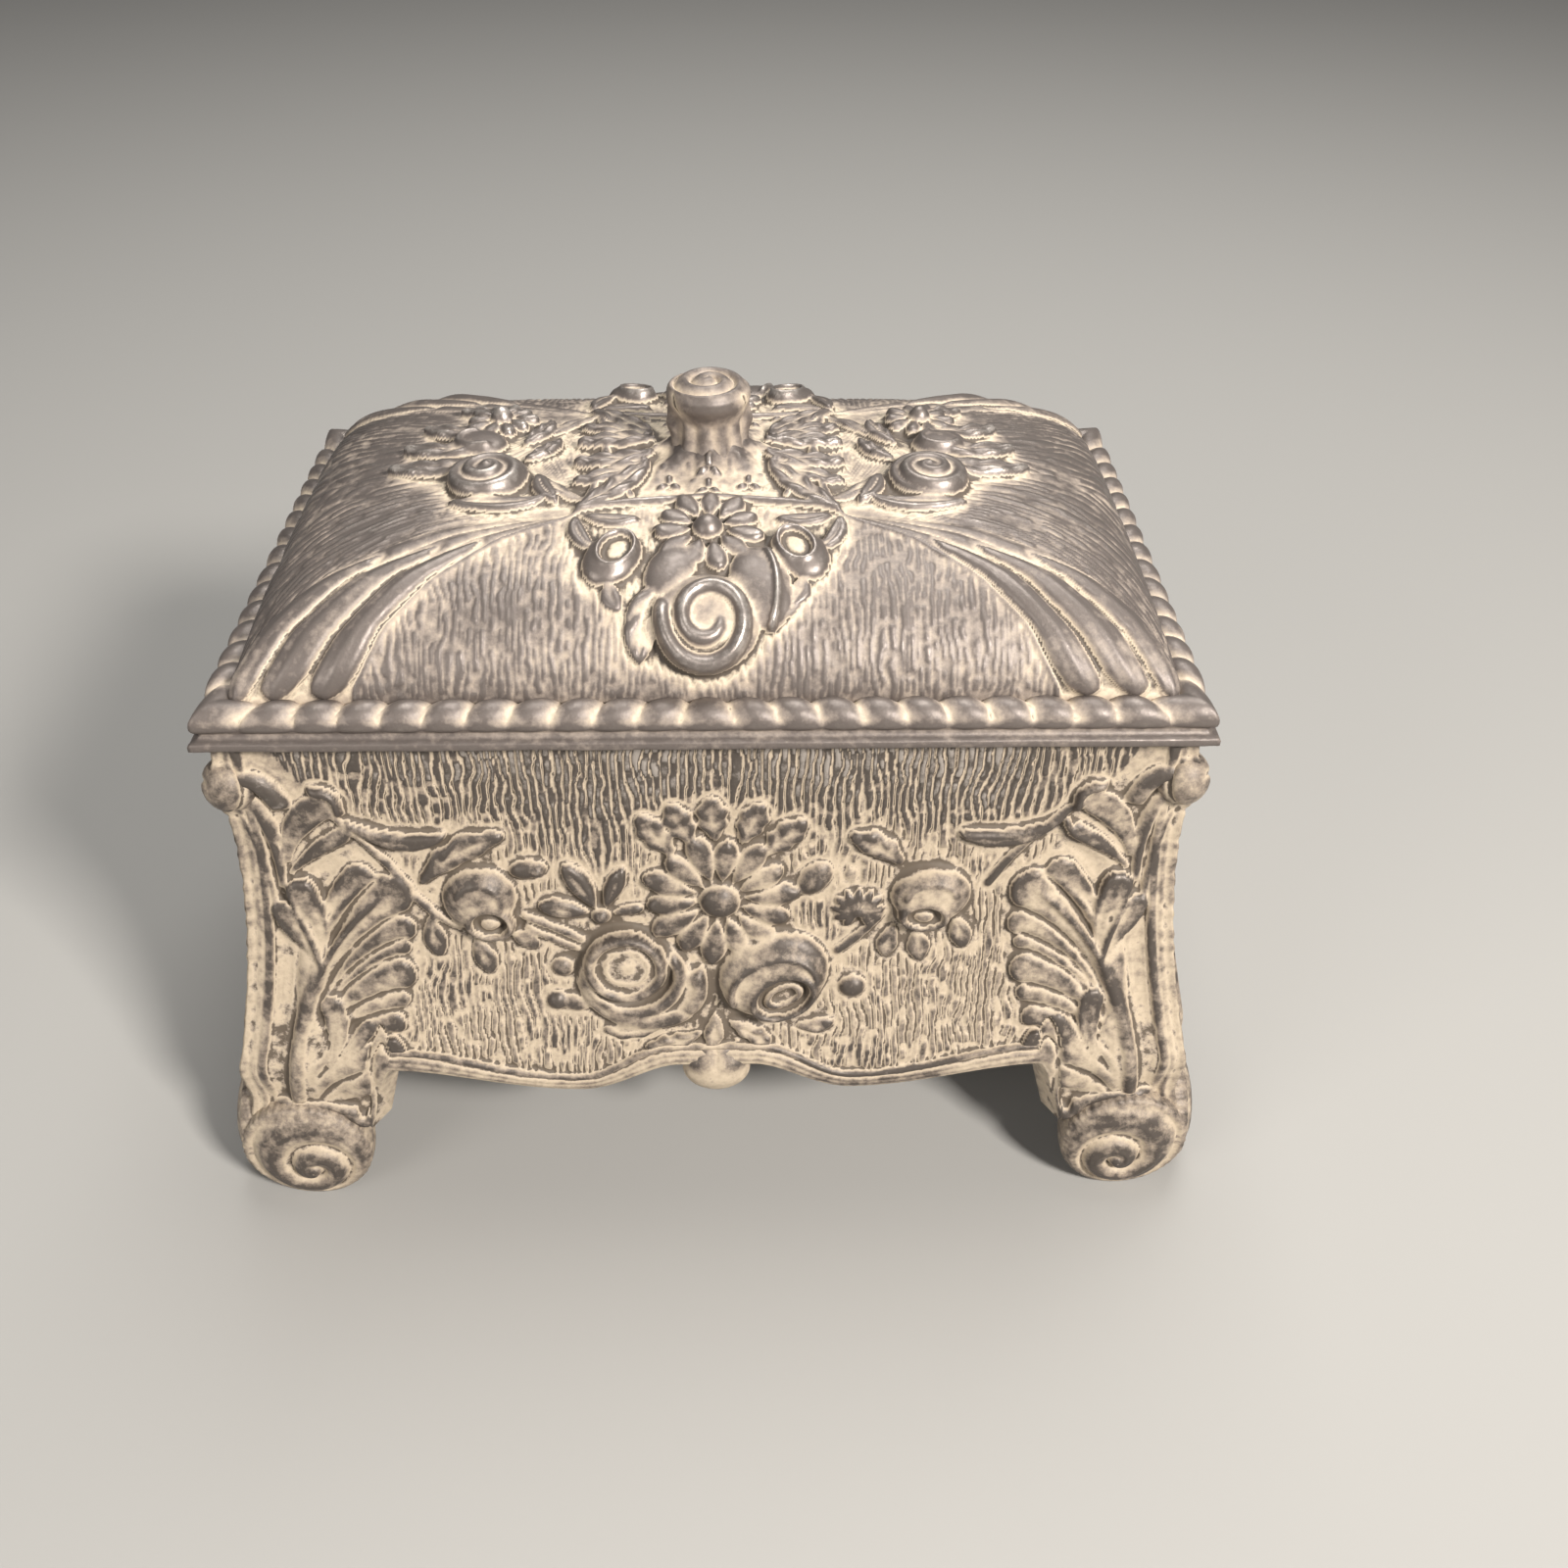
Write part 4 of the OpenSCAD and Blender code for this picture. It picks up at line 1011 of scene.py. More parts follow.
def lid_relief(x, y, run_x, run_y):
    """Height of the lid's relief over its dome, in mm, and its tone, with painted shade in the
    creases. The pattern is laid out in run_x and run_y, lengths of surface from the middle,
    and is the same at the front and the back."""
    b, a = np.abs(run_x), np.abs(run_y)
    edges = [np.interp(a, *zip(*[(p[1], p[0]) for p in edge])) for edge in ROLL_EDGES]
    inside = a > 12.0
    # s runs from 0 to 3 over the three rolls, and is 9 off them
    s = np.full(b.shape, 9.0)
    for k in range(3):
        gap = np.maximum(edges[k + 1] - edges[k], 0.02)
        here = inside & (b >= edges[k]) & (b < edges[k + 1])
        s = np.where(here, k + (b - edges[k]) / gap, s)
    # four-pointed middle panel with hollow sides
    px, py = run_x / 14.2, run_y / 12.2
    star = (np.abs((px + py) / 2) ** 0.8 + np.abs((px - py) / 2) ** 0.8) ** 1.25
    apron = (star > 1) & ((inside & (b < edges[0])) | ((b < 14) & (a > b * 12.2 / 14.2)))
    roll = s < 3
    flank = (star > 1) & ~apron & ~roll
    # ground of the striated panels, deeper near the rolls
    ground = np.where(apron, 0.24 * bark(run_x * 1.12 + 40, a, 61), 0)
    turn = np.arctan2(b - 13.0, 12.4 - a + 0.022 * (b - 14) ** 2)
    far = np.hypot(b - 13.0, a - 12.4)
    lines = bark(turn * 26, far * 0.7 + 90 * (run_x > 0), 71)
    ground = np.where(flank, 0.26 * lines * smooth(far, 2, 9), ground)
    # the rolls
    grow = 0.30 * smooth(a, 12.0, 13.5) + 0.75 * smooth(a, 13.0, 24.0)
    across = 2 * (s % 1) - 1
    ended = np.clip((a - 29.4) / 4.4, 0, 1) ** 2
    shape = np.sqrt(np.clip(1 - across ** 2 - ended, 0, 1))
    rolls = np.where(roll, grow * shape * (1.25 - 0.12 * s + 0.05 * np.cos(across * 9)), 0)
    # a thin line inside the first roll
    thin = 0.5 * np.exp(-((b - edges[0] + 0.2) / 0.32) ** 2) * inside * (a < 34)
    h_ground = np.maximum(np.maximum(ground, rolls), thin)
    r = Relief(run_x, run_y)
    # middle panel: stippled ground, a rolled border, trefoils, and pods along its short sides
    middle = star < 1
    stipple = 0.28 * smooth(field(run_x / 0.55, run_y / 0.55, 81), 0.45, 0.75)
    r.h = np.maximum(h_ground, np.where(middle, 0.25 + stipple, 0))
    r.h = np.maximum(r.h, 0.95 * cap((star - 0.95) / 0.065))
    for turn_to in ((-1, -1), (-1, 1), (1, -1), (1, 1)):
        for base, pull, tip, wide, high, veins, rim, blunt in (
            ((13.6, 11.6), (8.6, 7.6), (6.6, 2.6), 1.6, 1.2, 4, 0.3, 0.55),
            ((6.0, 1.5), (10.0, 3.0), (14.6, 2.2), 1.5, 1.5, 3, 0.35, 0.5),
            ((6.4, 3.0), (11.0, 6.0), (14.4, 6.4), 1.4, 1.3, 3, 0.35, 0.5),
            ((13.0, 9.8), (15.8, 8.6), (17.6, 5.0), 0.9, 0.8, 2, 0.3, 0.5),
        ):
            r.leaf(bend(base, pull, tip) * turn_to, wide, high, veins=veins, rim=rim, blunt=blunt)
    for tx, ty in ((0, 8.2), (-4.2, 7.2), (4.2, 7.2), (-8.2, 9.6), (8.2, 9.6), (0, 5.4)):
        for sy in (-1, 1):
            for petal in (90, 210, 330):
                ca, sa = math.cos(math.radians(petal)), math.sin(math.radians(petal))
                r.oval(tx + 0.8 * ca, sy * ty + 0.8 * sa, 0.8, 0.45, petal, 0.95)
    for side in (-1, 1):
        spray_end(r, side)
        spray_front(r, side)
    # the middle rises as a tent to the knob's stem
    centre = np.hypot(x, y)
    tent = 2.7 * np.exp(-np.clip(centre - 3.6, 0, None) / 2.5)
    ribs = 0.22 * np.cos(8 * np.arctan2(y, x)) * np.clip(tent, 0, 1)
    skirt = smooth(blurred(np.minimum(r.h * (r.h > 0.5), 0.6), 2), 0.02, 0.3)
    h = np.where(r.h > 0.55, r.h, r.h * (1 - skirt) + 0.15 * skirt)
    h = (h + tent + ribs) * smooth(34.5 - a, 0.0, 1.2) * smooth(52.8 - b, 0.0, 1.2)
    h = 0.45 * h + 0.55 * blurred(h, 1)
    # cream residue lies round the flowers and between the rolls, and the far parts are rubbed
    flower = (r.h > 0.5) & (r.h > h_ground + 0.05)
    halo = np.clip(blurred(1.0 * flower, 9) * 1.6, 0, 1) * (star > 0.3)
    cream = -0.15 * halo * (r.h < 0.9) - 0.06 * halo - 0.06 * roll * (1 - shape)
    rubbed = 0.05 * smooth(a, 17, 25) * apron + 0.13 * smooth(b, 18, 36) * flank - 0.06 * roll
    patches = 0.18 * (field(run_x / 7.0, run_y / 6.0, 97) - 0.5)
    # the creases at the foot of each step are darkened as painted shade
    return h, cream + rubbed - 0.9 * r.pale - 2.0 * crease_shade(h) + patches


LID_COLUMNS, LID_ROWS = 512, 352
lid_x, lid_run_x = even(DOME_X, LID_COLUMNS, 0)
lid_y, lid_run_y = even(DOME_Y, LID_ROWS, 1)
gx, gy = np.meshgrid(lid_x, lid_y)
outside = np.stack([gx, gy, dome_z(gx, gy, DOME_X, DOME_Y, DOME_H)], -1)
normal = np.cross(np.gradient(outside, axis=1), np.gradient(outside, axis=0))
normal /= np.maximum(np.linalg.norm(normal, axis=-1, keepdims=True), 1e-9)
lid_h, lid_tone = lid_relief(gx, gy, *np.meshgrid(lid_run_x, lid_run_y))
outside = outside + normal * lid_h[..., None]
lid_wear = worn(lid_h)
lid_pieces = []
# the dome is one casting, made here as a front and a back half to keep each mesh small
UNDER_X, UNDER_Y = DOME_X - DOME_T, DOME_Y - DOME_T
for half, rows in (("front", slice(None, LID_ROWS // 2 + 1)), ("back", slice(LID_ROWS // 2, None))):
    ux = gx[rows][::COARSE, ::COARSE] * UNDER_X / DOME_X
    uy = gy[rows][::COARSE, ::COARSE] * UNDER_Y / DOME_Y
    under = np.stack([ux, uy, dome_z(ux, uy, UNDER_X, UNDER_Y, DOME_H - DOME_T)], -1)
    points, faces, fine = closed_sheet(outside[rows], under)
    lid_pieces.append(build(f"lid_dome_{half}", points, faces, fine,
                            wear=lid_wear[rows], height=lid_h[rows], tone=lid_tone[rows]))

# the rim: a flat lip below a row of slanting beads, with one pointed bead on each corner
BEAD_OUT, BEAD_Z, CORNER_BEAD = 2.3, 65.1, 4.2


def bead_row(x, offset, half, count):
    """Height of the beads, from 0 to 1, at x along a side whose half length is half, and at
    an offset in from its edge. A bead is a half-round lobe; the rows lean from the middle."""
    m = half - np.abs(x)
    lean = 1 - 0.6 * smooth(m, 4, 9)
    lean = lean * smooth(np.abs(x), 0, 4) if count % 2 else lean
    m = (m - BEAD_OUT) - (offset - BEAD_OUT) * lean
    pitch = 2 * (half - BEAD_OUT - CORNER_BEAD) / count
    return np.where(m < CORNER_BEAD, np.abs(np.cos(math.pi * m / CORNER_BEAD / 2)) ** 0.5,
                    np.abs(np.sin(math.pi * (m - CORNER_BEAD) / pitch)) ** 0.5)


def rim_side(half, count, columns):
    """Profile points, each an offset in from the edge and a height, over one side, with their
    wear. The lip is fixed, and the bead part is an arc whose radius grows with the bead."""
    fixed = np.array([(5.4, 66.0), (5.4, 64.5), (5.4, 63.0), (3.0, 63.0), (0.5, 63.0),
                      (0.12, 63.05), (0.0, 63.2), (0.0, 63.75), (0.12, 63.95), (0.6, 64.0)])
    phi = np.radians(np.linspace(208, -12, 30))
    a = np.linspace(-1, 1, columns + 1)[None, :]
    out0 = np.concatenate([fixed[:, 0], np.maximum(BEAD_OUT + 2.2 * np.cos(phi), 0.15)])[:, None]
    x = a * (half - out0)
    lobe = bead_row(x, out0, half, count)
    arc = np.concatenate([np.full(len(fixed), np.nan), phi])[:, None]
    waist = np.clip(np.sin((arc + 0.2) / (math.pi + 0.4) * math.pi), 0, 1) ** 0.5
    radius = 1.35 + 0.95 * lobe * waist
    lip = np.isnan(arc)
    lip_z = np.concatenate([fixed[:, 1], phi * 0])[:, None]
    offset = np.where(lip, out0, BEAD_OUT + radius * np.cos(arc))
    z = np.where(lip, lip_z, BEAD_Z + radius * 1.02 * np.sin(arc))
    nick = 0.16 * (field(x / 2.1, x * 0, 91) - 0.5) * (out0 < 0.3) * lip
    offset = np.maximum(offset - nick, 0)
    x = a * (half - offset)
    # the backs of the beads are rubbed, and so is the edge below them
    below = 0.30 * np.nan_to_num(smooth(arc, 2.5, 3.2))
    bead_wear = np.minimum(-0.03 + (radius - 1.95) * 0.45 + below, 0.16)
    return x, offset + 0 * a, z + 0 * a, np.where(lip, 0.08, bead_wear) + 0 * a


# a side's half length, how far out it stands, and its numbers of beads and of columns
LONG_SIDE, SHORT_SIDE = (LID_W / 2, LID_D / 2, 21, 264), (LID_D / 2, LID_W / 2, 13, 168)
sides, marks = [], []
for turn, side in ((0, LONG_SIDE), (90, SHORT_SIDE), (180, LONG_SIDE), (270, SHORT_SIDE)):
    half, other, count, columns = side
    x, offset, z, rubbed = rim_side(half, count, columns)
    sides.append(spun(np.stack([x, -(other - offset), z], -1), turn)[:, :-1])
    marks.append(rubbed[:, :-1])
ring, rubbed = np.concatenate(sides, 1), np.concatenate(marks, 1)
k = np.arange(rubbed.size).reshape(rubbed.shape)
lid_rim = build("lid_rim", ring.reshape(-1, 3), ring_faces(np.vstack([k, k[:1]])),
                wear=rubbed, height=rubbed * 0 + 0.4)

# the knob: a stem with folded sepals, and a half-open bud whose petals wind to its top. Its
# profile is given as shares of the way up it, radii and heights.
KNOB_TOP = 88.0
t = np.linspace(0, 1, 110)[:, None]
phi = np.linspace(0, 2 * math.pi, 180, endpoint=False)[None, :]
knots = np.array([(0.0, 4.9, 78.2), (0.08, 4.3, 79.6), (0.2, 3.7, 81.8), (0.34, 3.55, 83.6),
                  (0.42, 4.0, 84.6), (0.52, 4.5, 85.6), (0.62, 4.45, 86.6), (0.7, 4.0, 87.3),
                  (0.78, 3.2, 87.6), (0.9, 1.4, 87.8), (1.0, 0.08, 87.9)])
radius = np.interp(t, knots[:, 0], knots[:, 1])
level = np.interp(t, knots[:, 0], knots[:, 2])
# round the profile's corners by averaging along it
soften = np.ones(7) / 7
radius = np.convolve(np.pad(radius[:, 0], 3, mode="edge"), soften, "valid")[:, None]
level = np.convolve(np.pad(level[:, 0], 3, mode="edge"), soften, "valid")[:, None]
radius[-1], level[-1] = 0.08, level[-1] + 0.02
wind = 2.6 * (1 - radius / 4.6) - phi / (2 * math.pi)
fold = np.sin(math.pi * (wind - np.floor(wind)) ** 1.5) ** 0.7
top_part = smooth(t, 0.6, 0.72)
petal = np.abs(np.sin(1.5 * phi + 1.2 * t)) ** 0.4
side_part = smooth(t, 0.36, 0.48) * (1 - top_part)
stem = 0.16 * np.cos(11 * phi) * smooth(t, 0.04, 0.12) * (1 - smooth(t, 0.3, 0.4))
# two folded sepals stand out sideways; the first one is met again after a full turn
sepals = sum(np.exp(-((phi - at) / 0.22) ** 2) for at in (0.15, math.pi + 0.1, 2 * math.pi + 0.15))
wing = 1.1 * np.exp(-((t - 0.30) / 0.12) ** 2) * sepals
r_all = radius + side_part * (0.35 * petal - 0.30) + stem + wing
z_all = level + 0 * phi - top_part * 0.75 * (1 - fold) * smooth(radius, 0.1, 0.8)
z_all = np.minimum(z_all, KNOB_TOP)
grid = np.stack([r_all * np.cos(phi), r_all * np.sin(phi), z_all], -1)
points, faces = wrapped(grid)
knob_wear = -0.08 + 0.55 * (top_part * (fold - 0.6) * 0.5 + side_part * (petal - 0.7)) + stem * 0.5
knob = build("knob_bud", points, faces, wear=knob_wear + 0 * phi, height=knob_wear * 0 + 1.2)

# Worn pewter-coloured metal: the same casting, rubbed grey all over, shining where hands
# # touch it, with a cream residue in the hollows. The darkest stop is reached mostly where the
# # creases at the foot of each step are darkened as painted shade.
PEWTER_STOPS = ((0.0, "#574e46"), (0.08, "#9d9181"), (0.17, "#ccbea9"), (0.28, "#aea090"),
                (0.41, "#8e837a"), (0.56, "#69615d"), (0.78, "#857d78"), (1.0, "#d0c8c1"))
pewter = cast_metal("rubbed pewter-grey casting", PEWTER_STOPS, lift=1.35, height_gain=0.02, base=0.46,
                    speck=0.60, broad=0.28, metallic=0.68, dull=0.60, bright=0.36)
shell = [(piece, "lid_shell") for piece in (*lid_pieces, lid_rim)]
for piece, node in (*shell, (knob, "knob")):
    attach(piece, "lid")
    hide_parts(node)
    piece.data.materials.append(pewter)


# ---------------------------------------------------------------------------------------
# Lining: six pads of faded champagne silk over cotton wadding, pasted to card. Each is
# puffed out by a short cloth simulation of its own, held along its edges and its back.
# ---------------------------------------------------------------------------------------
# the simulation runs at twenty times the size, where cloth settings behave as they should
SIM_SCALE, SIM_FRAMES = 20.0, 20


def pad_grid(low, high, face, cells):
    """Front and back grids of a pad that swells to the side named by face, with how firmly
    each point is held. Across the pad u and v run from -1 to 1, and its front stands out by
    a share of the thickness that falls off as (cap(u^9) cap(v^9))^0.8."""
    axis, sign = "xyz".index(face[1]), 1 if face[0] == "+" else -1
    others = [i for i in range(3) if i != axis]
    spans = [high[i] - low[i] for i in others]
    nu, nv = (max(12, int(s / cells)) for s in spans)
    u, v = np.meshgrid(np.linspace(-1, 1, nu + 1), np.linspace(-1, 1, nv + 1))
    shape = (cap(np.abs(u) ** 9) * cap(np.abs(v) ** 9)) ** 0.8
    thick = high[axis] - low[axis]
    outer, inner = (low[axis], high[axis]) if sign > 0 else (high[axis], low[axis])
    layers = []
    for level in (outer + sign * thick * (0.20 + 0.26 * shape), outer + 0 * shape):
        p = np.zeros(u.shape + (3,))
        p[..., others[0]] = (low[others[0]] + high[others[0]]) / 2 + u * spans[0] / 2
        p[..., others[1]] = (low[others[1]] + high[others[1]]) / 2 + v * spans[1] / 2
        p[..., axis] = level
        layers.append(p)
    hold = np.clip(1 - shape * 1.2, 0, 1) ** 0.5
    return layers[0], layers[1], hold, axis, sign, inner


# how far the silk may swell, in mm, and how far a button's dimple is held round it
MOST, BUTTON_R = 1.05, 1.5


def puffed(name, node, face, body, buttons):
    """A pad in a node's place that bulges towards face. The front takes the simulated
    swelling, at most to the pad's own thickness, and fine gathers run in from its edges."""
    low, high = (np.array(c) * 1000 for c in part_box(node))
    front, back, hold, axis, sign, inner = pad_grid(low, high, face, 1.1)
    rows, cols = front.shape[:2]
    k = np.arange(rows * cols).reshape(rows, cols)
    b = k + rows * cols
    border = np.concatenate([k[0, :-1], k[:-1, -1], k[-1, :0:-1], k[:0:-1, 0]])
    after = np.roll(border, -1)
    faces = sheet_faces(k) + sheet_faces(b, over=True)
    faces += np.stack([border, border + rows * cols, after + rows * cols, after], -1).tolist()
    points = np.concatenate([front.reshape(-1, 3), back.reshape(-1, 3)])
    mesh = bpy.data.meshes.new(name + "_sim")
    mesh.from_pydata((points * MM * SIM_SCALE).tolist(), [], faces)
    trial = bpy.data.objects.new(name + "_sim", mesh)
    bpy.context.collection.objects.link(trial)
    work = bmesh.new()
    work.from_mesh(mesh)
    bmesh.ops.recalc_face_normals(work, faces=work.faces)
    work.to_mesh(mesh)
    work.free()
    held = trial.vertex_groups.new(name="held")
    weights = np.concatenate([hold.ravel(), np.ones(rows * cols)])
    for cx, cy in buttons:
        centre = front[int((cy + 1) / 2 * (rows - 1)), int((cx + 1) / 2 * (cols - 1))]
        near = np.linalg.norm(points[:rows * cols] - centre, axis=1)
        weights[:rows * cols] = np.maximum(weights[:rows * cols], near < BUTTON_R)
    for level in np.unique(np.round(weights, 1)):
        held.add(np.flatnonzero(np.round(weights, 1) == level).tolist(), float(level), "REPLACE")
    cloth = trial.modifiers.new("cloth", "CLOTH")
    cloth.settings.quality = 6
    cloth.settings.mass = 0.2
    cloth.settings.use_pressure = True
    cloth.settings.uniform_pressure_force = 4
    cloth.settings.shrink_min = -0.10
    cloth.settings.vertex_group_mass = "held"
    cloth.settings.effector_weights.gravity = 0
    cloth.settings.tension_stiffness = cloth.settings.compression_stiffness = 8
    cloth.settings.bending_stiffness = 0.05
    cloth.point_cache.frame_start, cloth.point_cache.frame_end = 1, SIM_FRAMES
    for step in range(1, SIM_FRAMES + 1):
        bpy.context.scene.frame_set(step)
    result = trial.evaluated_get(bpy.context.evaluated_depsgraph_get()).data
    moved = np.empty(len(points) * 3)
    result.vertices.foreach_get("co", moved)
    moved = moved.reshape(-1, 3) / (MM * SIM_SCALE)
    bpy.context.scene.frame_set(1)
    bpy.data.objects.remove(trial)
    points = points + np.clip(moved - points, -MOST, MOST)
    points[rows * cols:] = back.reshape(-1, 3)
    limit = inner - sign * 0.05
    points[:, axis] = np.minimum(points[:, axis], limit) if sign > 0 else np.maximum(points[:, axis], limit)
    for i in range(3):
        points[:, i] = np.clip(points[:, i], low[i], high[i])
    made = build(name, points, faces)
    made.modifiers.new("smooth", "SUBSURF").levels = 1
    made.modifiers["smooth"].render_levels = 1
    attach(made, body)
    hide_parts(node)
    return made


# where each pad is tacked down, as shares of its half width and half height
TUFTS_WIDE = [(x / 3, 0) for x in (-2, 0, 2)] + [(x / 3, y) for x in (-1, 1) for y in (-0.45, 0.45)]
TUFTS_SHORT = [(0, 0), (-0.5, 0.45), (0.5, 0.45), (-0.5, -0.45), (0.5, -0.45)]
pads = [
    puffed("front_lining_pad", "front_lining", "+y", "box", TUFTS_WIDE),
    puffed("back_lining_pad", "back_lining", "-y", "box", TUFTS_WIDE),
    puffed("left_lining_pad", "left_lining", "+x", "box", TUFTS_SHORT),
    puffed("right_lining_pad", "right_lining", "-x", "box", TUFTS_SHORT),
    puffed("floor_lining_pad", "floor_pad", "+z", "box", TUFTS_WIDE),
    puffed("lid_lining_pad", "lid_pad", "-z", "lid", TUFTS_WIDE),
]

# Silk satin: a close weave with a soft sheen along its floats, faded unevenly. The thread is
# # far too fine to see, so the weave is drawn at 0.3 mm.
silk, tree, shader = new_material("faded silk satin")
place = add(tree, "TexCoord")
fade = add(tree, "TexNoise", inputs={"Scale": 55, "Detail": 4}, Vector=place.outputs["Object"])
slub = add(tree, "Mapping", inputs={"Scale": (900, 900, 3600)}, Vector=place.outputs["Object"])
thread = add(tree, "TexNoise", inputs={"Scale": 1, "Detail": 2}, Vector=slub.outputs["Vector"])
colour = add(tree, "ValToRGB", Fac=fade.outputs["Fac"])
colour.color_ramp.elements[0].position, colour.color_ramp.elements[0].color = 0.3, linear("#a48a70")
colour.color_ramp.elements[1].position, colour.color_ramp.elements[1].color = 0.7, linear("#d2bc9f")
gloss = add(tree, "MapRange", inputs={"To Min": 0.34, "To Max": 0.52}, Value=thread.outputs["Fac"])
weave = add(tree, "Bump", inputs={"Strength": 0.25, "Distance": 0.00006}, Height=thread.outputs["Fac"])
shader.inputs["Sheen Weight"].default_value = 0.5
shader.inputs["Sheen Roughness"].default_value = 0.35
tree.links.new(shader.inputs["Base Color"], colour.outputs["Color"])
tree.links.new(shader.inputs["Roughness"], gloss.outputs["Result"])
tree.links.new(shader.inputs["Normal"], weave.outputs["Normal"])
for pad in pads:
    pad.data.materials.append(silk)

# ---------------------------------------------------------------------------------------
# Silk cords: two narrow twisted cords, glued round the top of the lining and round the
# lid's pad to hide the raw edges. Each is three plies laid up together.
# ---------------------------------------------------------------------------------------


def twisted_loop(name, node, body, corner):
    """A closed cord round a node's box: a rounded rectangle carried round at the node's mid
    height, whose section is a circle with three lobes that turn along the length."""
    low, high = (np.array(c) * 1000 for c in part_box(node))
    r = (high[2] - low[2]) / 2
    half_x, half_y = (high[0] - low[0]) / 2 - r, (high[1] - low[1]) / 2 - r
    mid = (low + high) / 2
    sides = []
    for quarter, (sx, sy) in enumerate(((1, 1), (-1, 1), (-1, -1), (1, -1))):
        a = np.radians(np.linspace(0, 90, 8) + 90 * quarter)
        centre = np.array([sx * (half_x - corner), sy * (half_y - corner)])
        sides.append(centre + corner * np.stack([np.cos(a), np.sin(a)], -1))
    corners = np.concatenate(sides + [sides[0][:1]])
    run = np.concatenate([[0], np.cumsum(np.linalg.norm(np.diff(corners, axis=0), axis=1))])
    # a ring of 18 points every 0.28 mm, and a full turn of the lay every 3.4 mm
    steps, around, lay = int(run[-1] / 0.28), 18, 3.4
    s = np.linspace(0, run[-1], steps, endpoint=False)
    path = np.stack([np.interp(s, run, corners[:, i]) for i in (0, 1)], -1)
    ahead = np.roll(path, -1, 0) - np.roll(path, 1, 0)
    ahead /= np.linalg.norm(ahead, axis=1, keepdims=True)
    side = np.stack([ahead[:, 1], -ahead[:, 0]], -1)
    phi = np.linspace(0, 2 * math.pi, around, endpoint=False)[None, :]
    turns = round(run[-1] / lay)
    lobes = 3 * (phi - 2 * math.pi * turns * (s / run[-1])[:, None])
    radius = r * (0.70 + 0.30 * np.abs(np.cos(lobes / 2)) ** 0.8)
    grid = np.stack([mid[0] + path[:, :1] + side[:, :1] * radius * np.cos(phi),
                     mid[1] + path[:, 1:] + side[:, 1:] * radius * np.cos(phi),
                     mid[2] + radius * np.sin(phi)], -1)
    k = np.arange(steps * around).reshape(steps, around).T
    # the wear mark here holds how far the cord's surface stands out, and the material makes the low parts,
    # the grooves between the plies, browner
    made = build(name, grid.reshape(-1, 3), ring_faces(np.vstack([k, k[:1]])), wear=radius / r - 0.85)
    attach(made, body)
    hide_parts(node)
    return made


cords = [twisted_loop("box_edge_cord", "box_cord", "box", corner=2.0),
         twisted_loop("lid_edge_cord", "lid_cord", "lid", corner=2.0)]

# Silk cord: plied yarn, browner in the grooves between the plies than on their backs.
yarn, tree, shader = new_material("twisted silk cord")
place = add(tree, "TexCoord")
depth = add(tree, "Attribute", {"attribute_name": "wear"})
fibre = add(tree, "TexNoise", inputs={"Scale": 1400, "Detail": 3}, Vector=place.outputs["Object"])
amount = add(tree, "MapRange", inputs={"From Min": -0.15, "From Max": 0.12}, Value=depth.outputs["Fac"])
colour = add(tree, "ValToRGB", Fac=amount.outputs["Result"])
colour.color_ramp.elements[0].color = linear("#7d5a45")
colour.color_ramp.elements[1].color = linear("#cfae90")
hairs = add(tree, "Bump", inputs={"Strength": 0.4, "Distance": 0.00008}, Height=fibre.outputs["Fac"])
shader.inputs["Roughness"].default_value = 0.5
shader.inputs["Sheen Weight"].default_value = 0.35
tree.links.new(shader.inputs["Base Color"], colour.outputs["Color"])
tree.links.new(shader.inputs["Normal"], hairs.outputs["Normal"])
for cord in cords:
    cord.data.materials.append(yarn)

# ---------------------------------------------------------------------------------------
# Bottom plate, hinge and cards: a plate of tinned sheet let in between the walls, a small
# five-knuckle brass hinge with its pin, and the pasteboard that carries the silk.
# ---------------------------------------------------------------------------------------


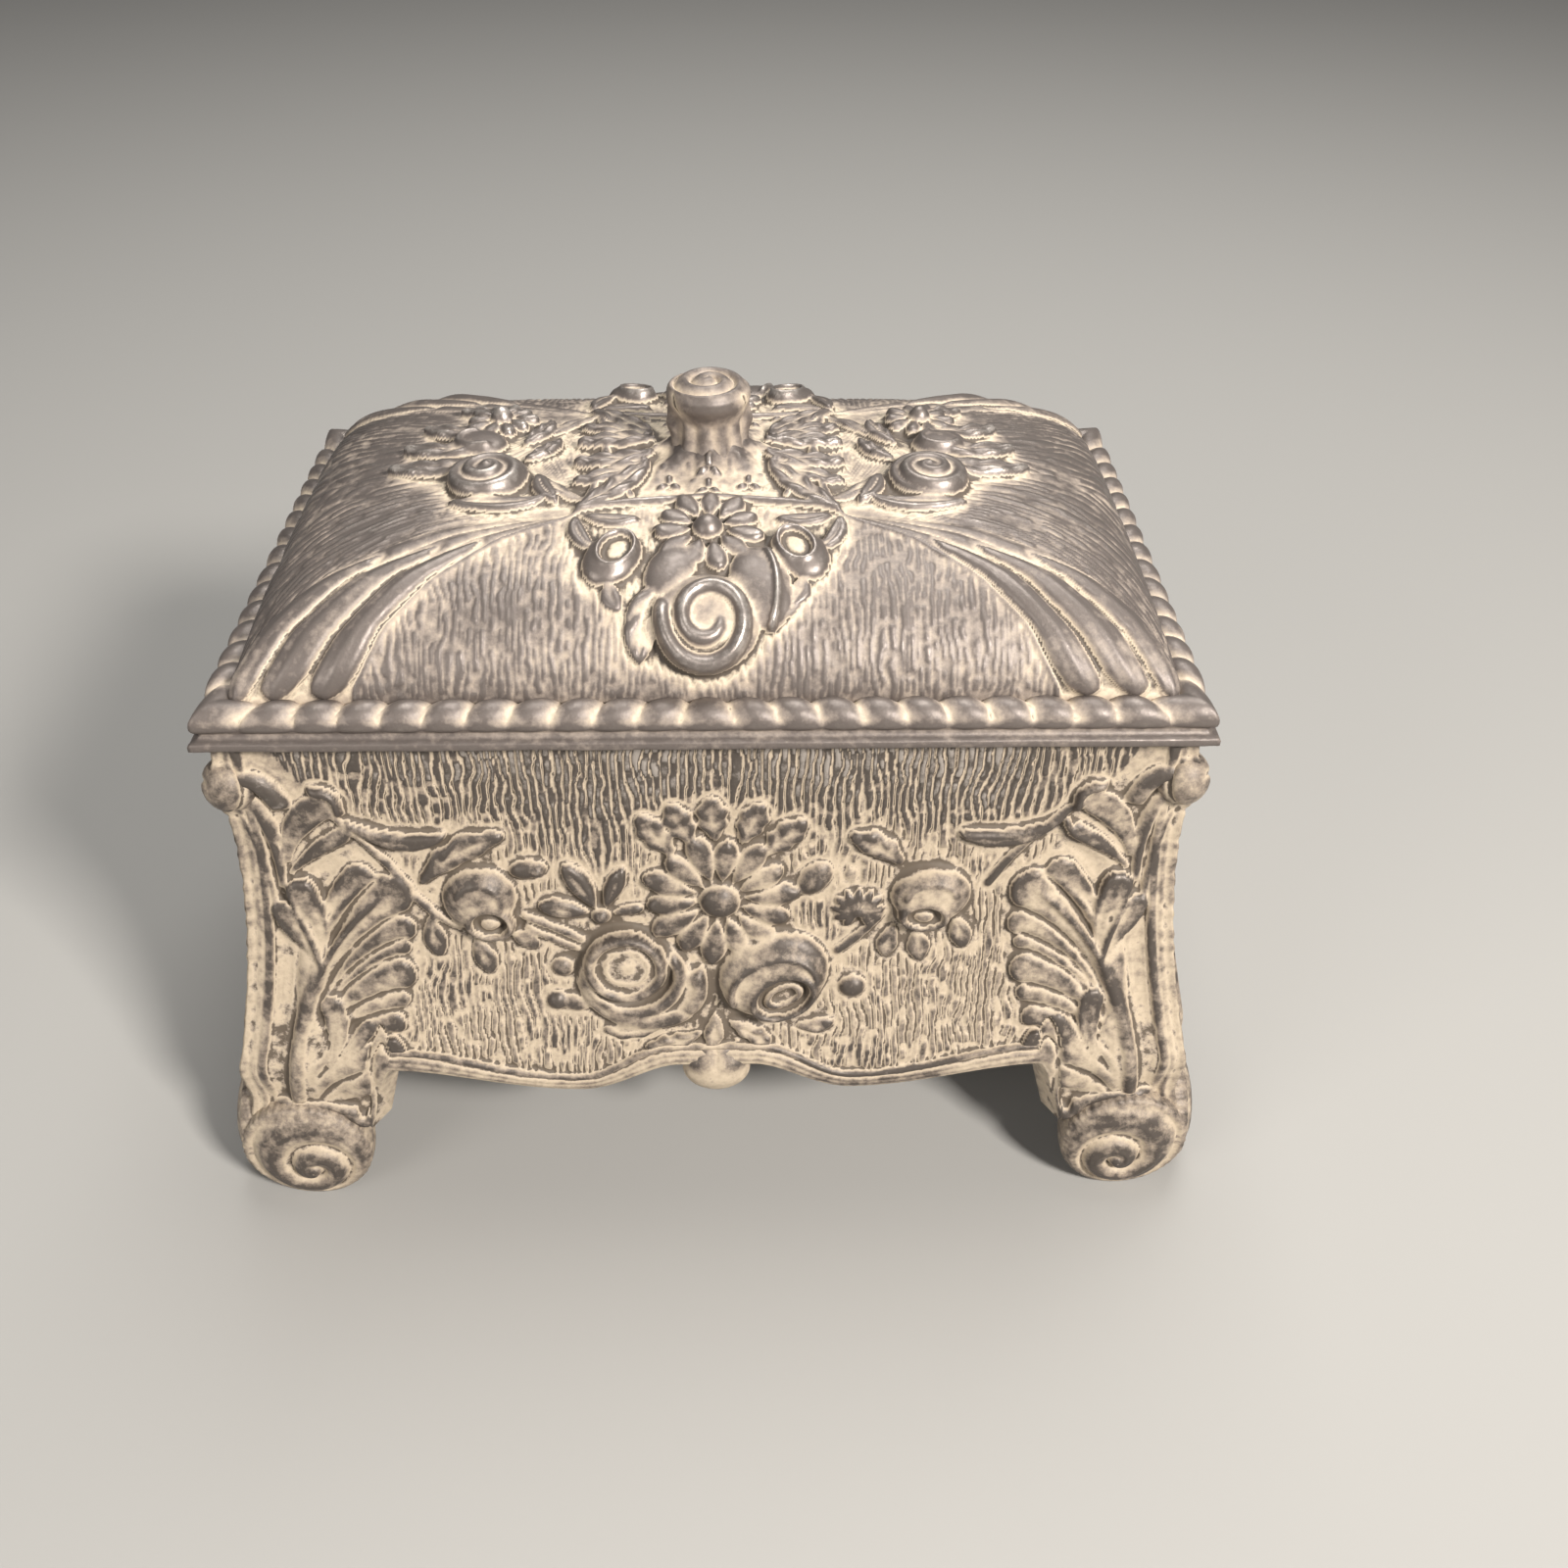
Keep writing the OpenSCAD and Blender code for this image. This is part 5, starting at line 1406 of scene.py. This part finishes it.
def speckled(name, low, high, *, scale, metallic, smoothest, roughest, bump):
    """A worn plain surface: one noise sets its colour between low and high and its
    roughness, and a finer one its bump."""
    made, tree, shader = new_material(name)
    at = add(tree, "TexCoord").outputs["Object"]
    spots = add(tree, "TexNoise", inputs={"Scale": scale, "Detail": 6, "Roughness": 0.65}, Vector=at)
    fine = add(tree, "TexNoise", inputs={"Scale": scale * 9, "Detail": 3}, Vector=at)
    colour = add(tree, "ValToRGB", Fac=spots.outputs["Fac"])
    colour.color_ramp.elements[0].position, colour.color_ramp.elements[0].color = 0.35, linear(low)
    colour.color_ramp.elements[1].position, colour.color_ramp.elements[1].color = 0.65, linear(high)
    polish = {"To Min": smoothest, "To Max": roughest}
    rough = add(tree, "MapRange", inputs=polish, Value=spots.outputs["Fac"])
    relief = add(tree, "Bump", inputs={"Strength": bump, "Distance": 0.0001}, Height=fine.outputs["Fac"])
    shader.inputs["Metallic"].default_value = metallic
    tree.links.new(shader.inputs["Base Color"], colour.outputs["Color"])
    tree.links.new(shader.inputs["Roughness"], rough.outputs["Result"])
    tree.links.new(shader.inputs["Normal"], relief.outputs["Normal"])
    return made


# tinned sheet: grey, dulled and freckled with dark corrosion
tin = speckled("dulled tinned sheet", "#5f5b56", "#98938b",
               scale=160, metallic=0.85, smoothest=0.35, roughest=0.65, bump=0.35)
# rolled brass, browned, brighter in random spots
brass = speckled("browned brass", "#6b5632", "#b3955a",
                 scale=240, metallic=1.0, smoothest=0.28, roughest=0.5, bump=0.2)
# pasteboard: buff, with foxed spots and a soft fibre surface
card = speckled("buff pasteboard", "#9c8b6c", "#c4b596",
                scale=90, metallic=0.0, smoothest=0.8, roughest=0.95, bump=0.5)
for node, finish in (("bottom_plate", tin), ("hinge_box_leaf", brass), ("hinge_lid_leaf", brass),
                     ("hinge_pin", brass), ("floor_card", card), ("lid_card", card)):
    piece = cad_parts[node]
    if piece.material_slots:
        for slot in piece.material_slots:
            slot.material = finish
    else:
        piece.data.materials.append(finish)

shown = [list(corner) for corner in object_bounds()]
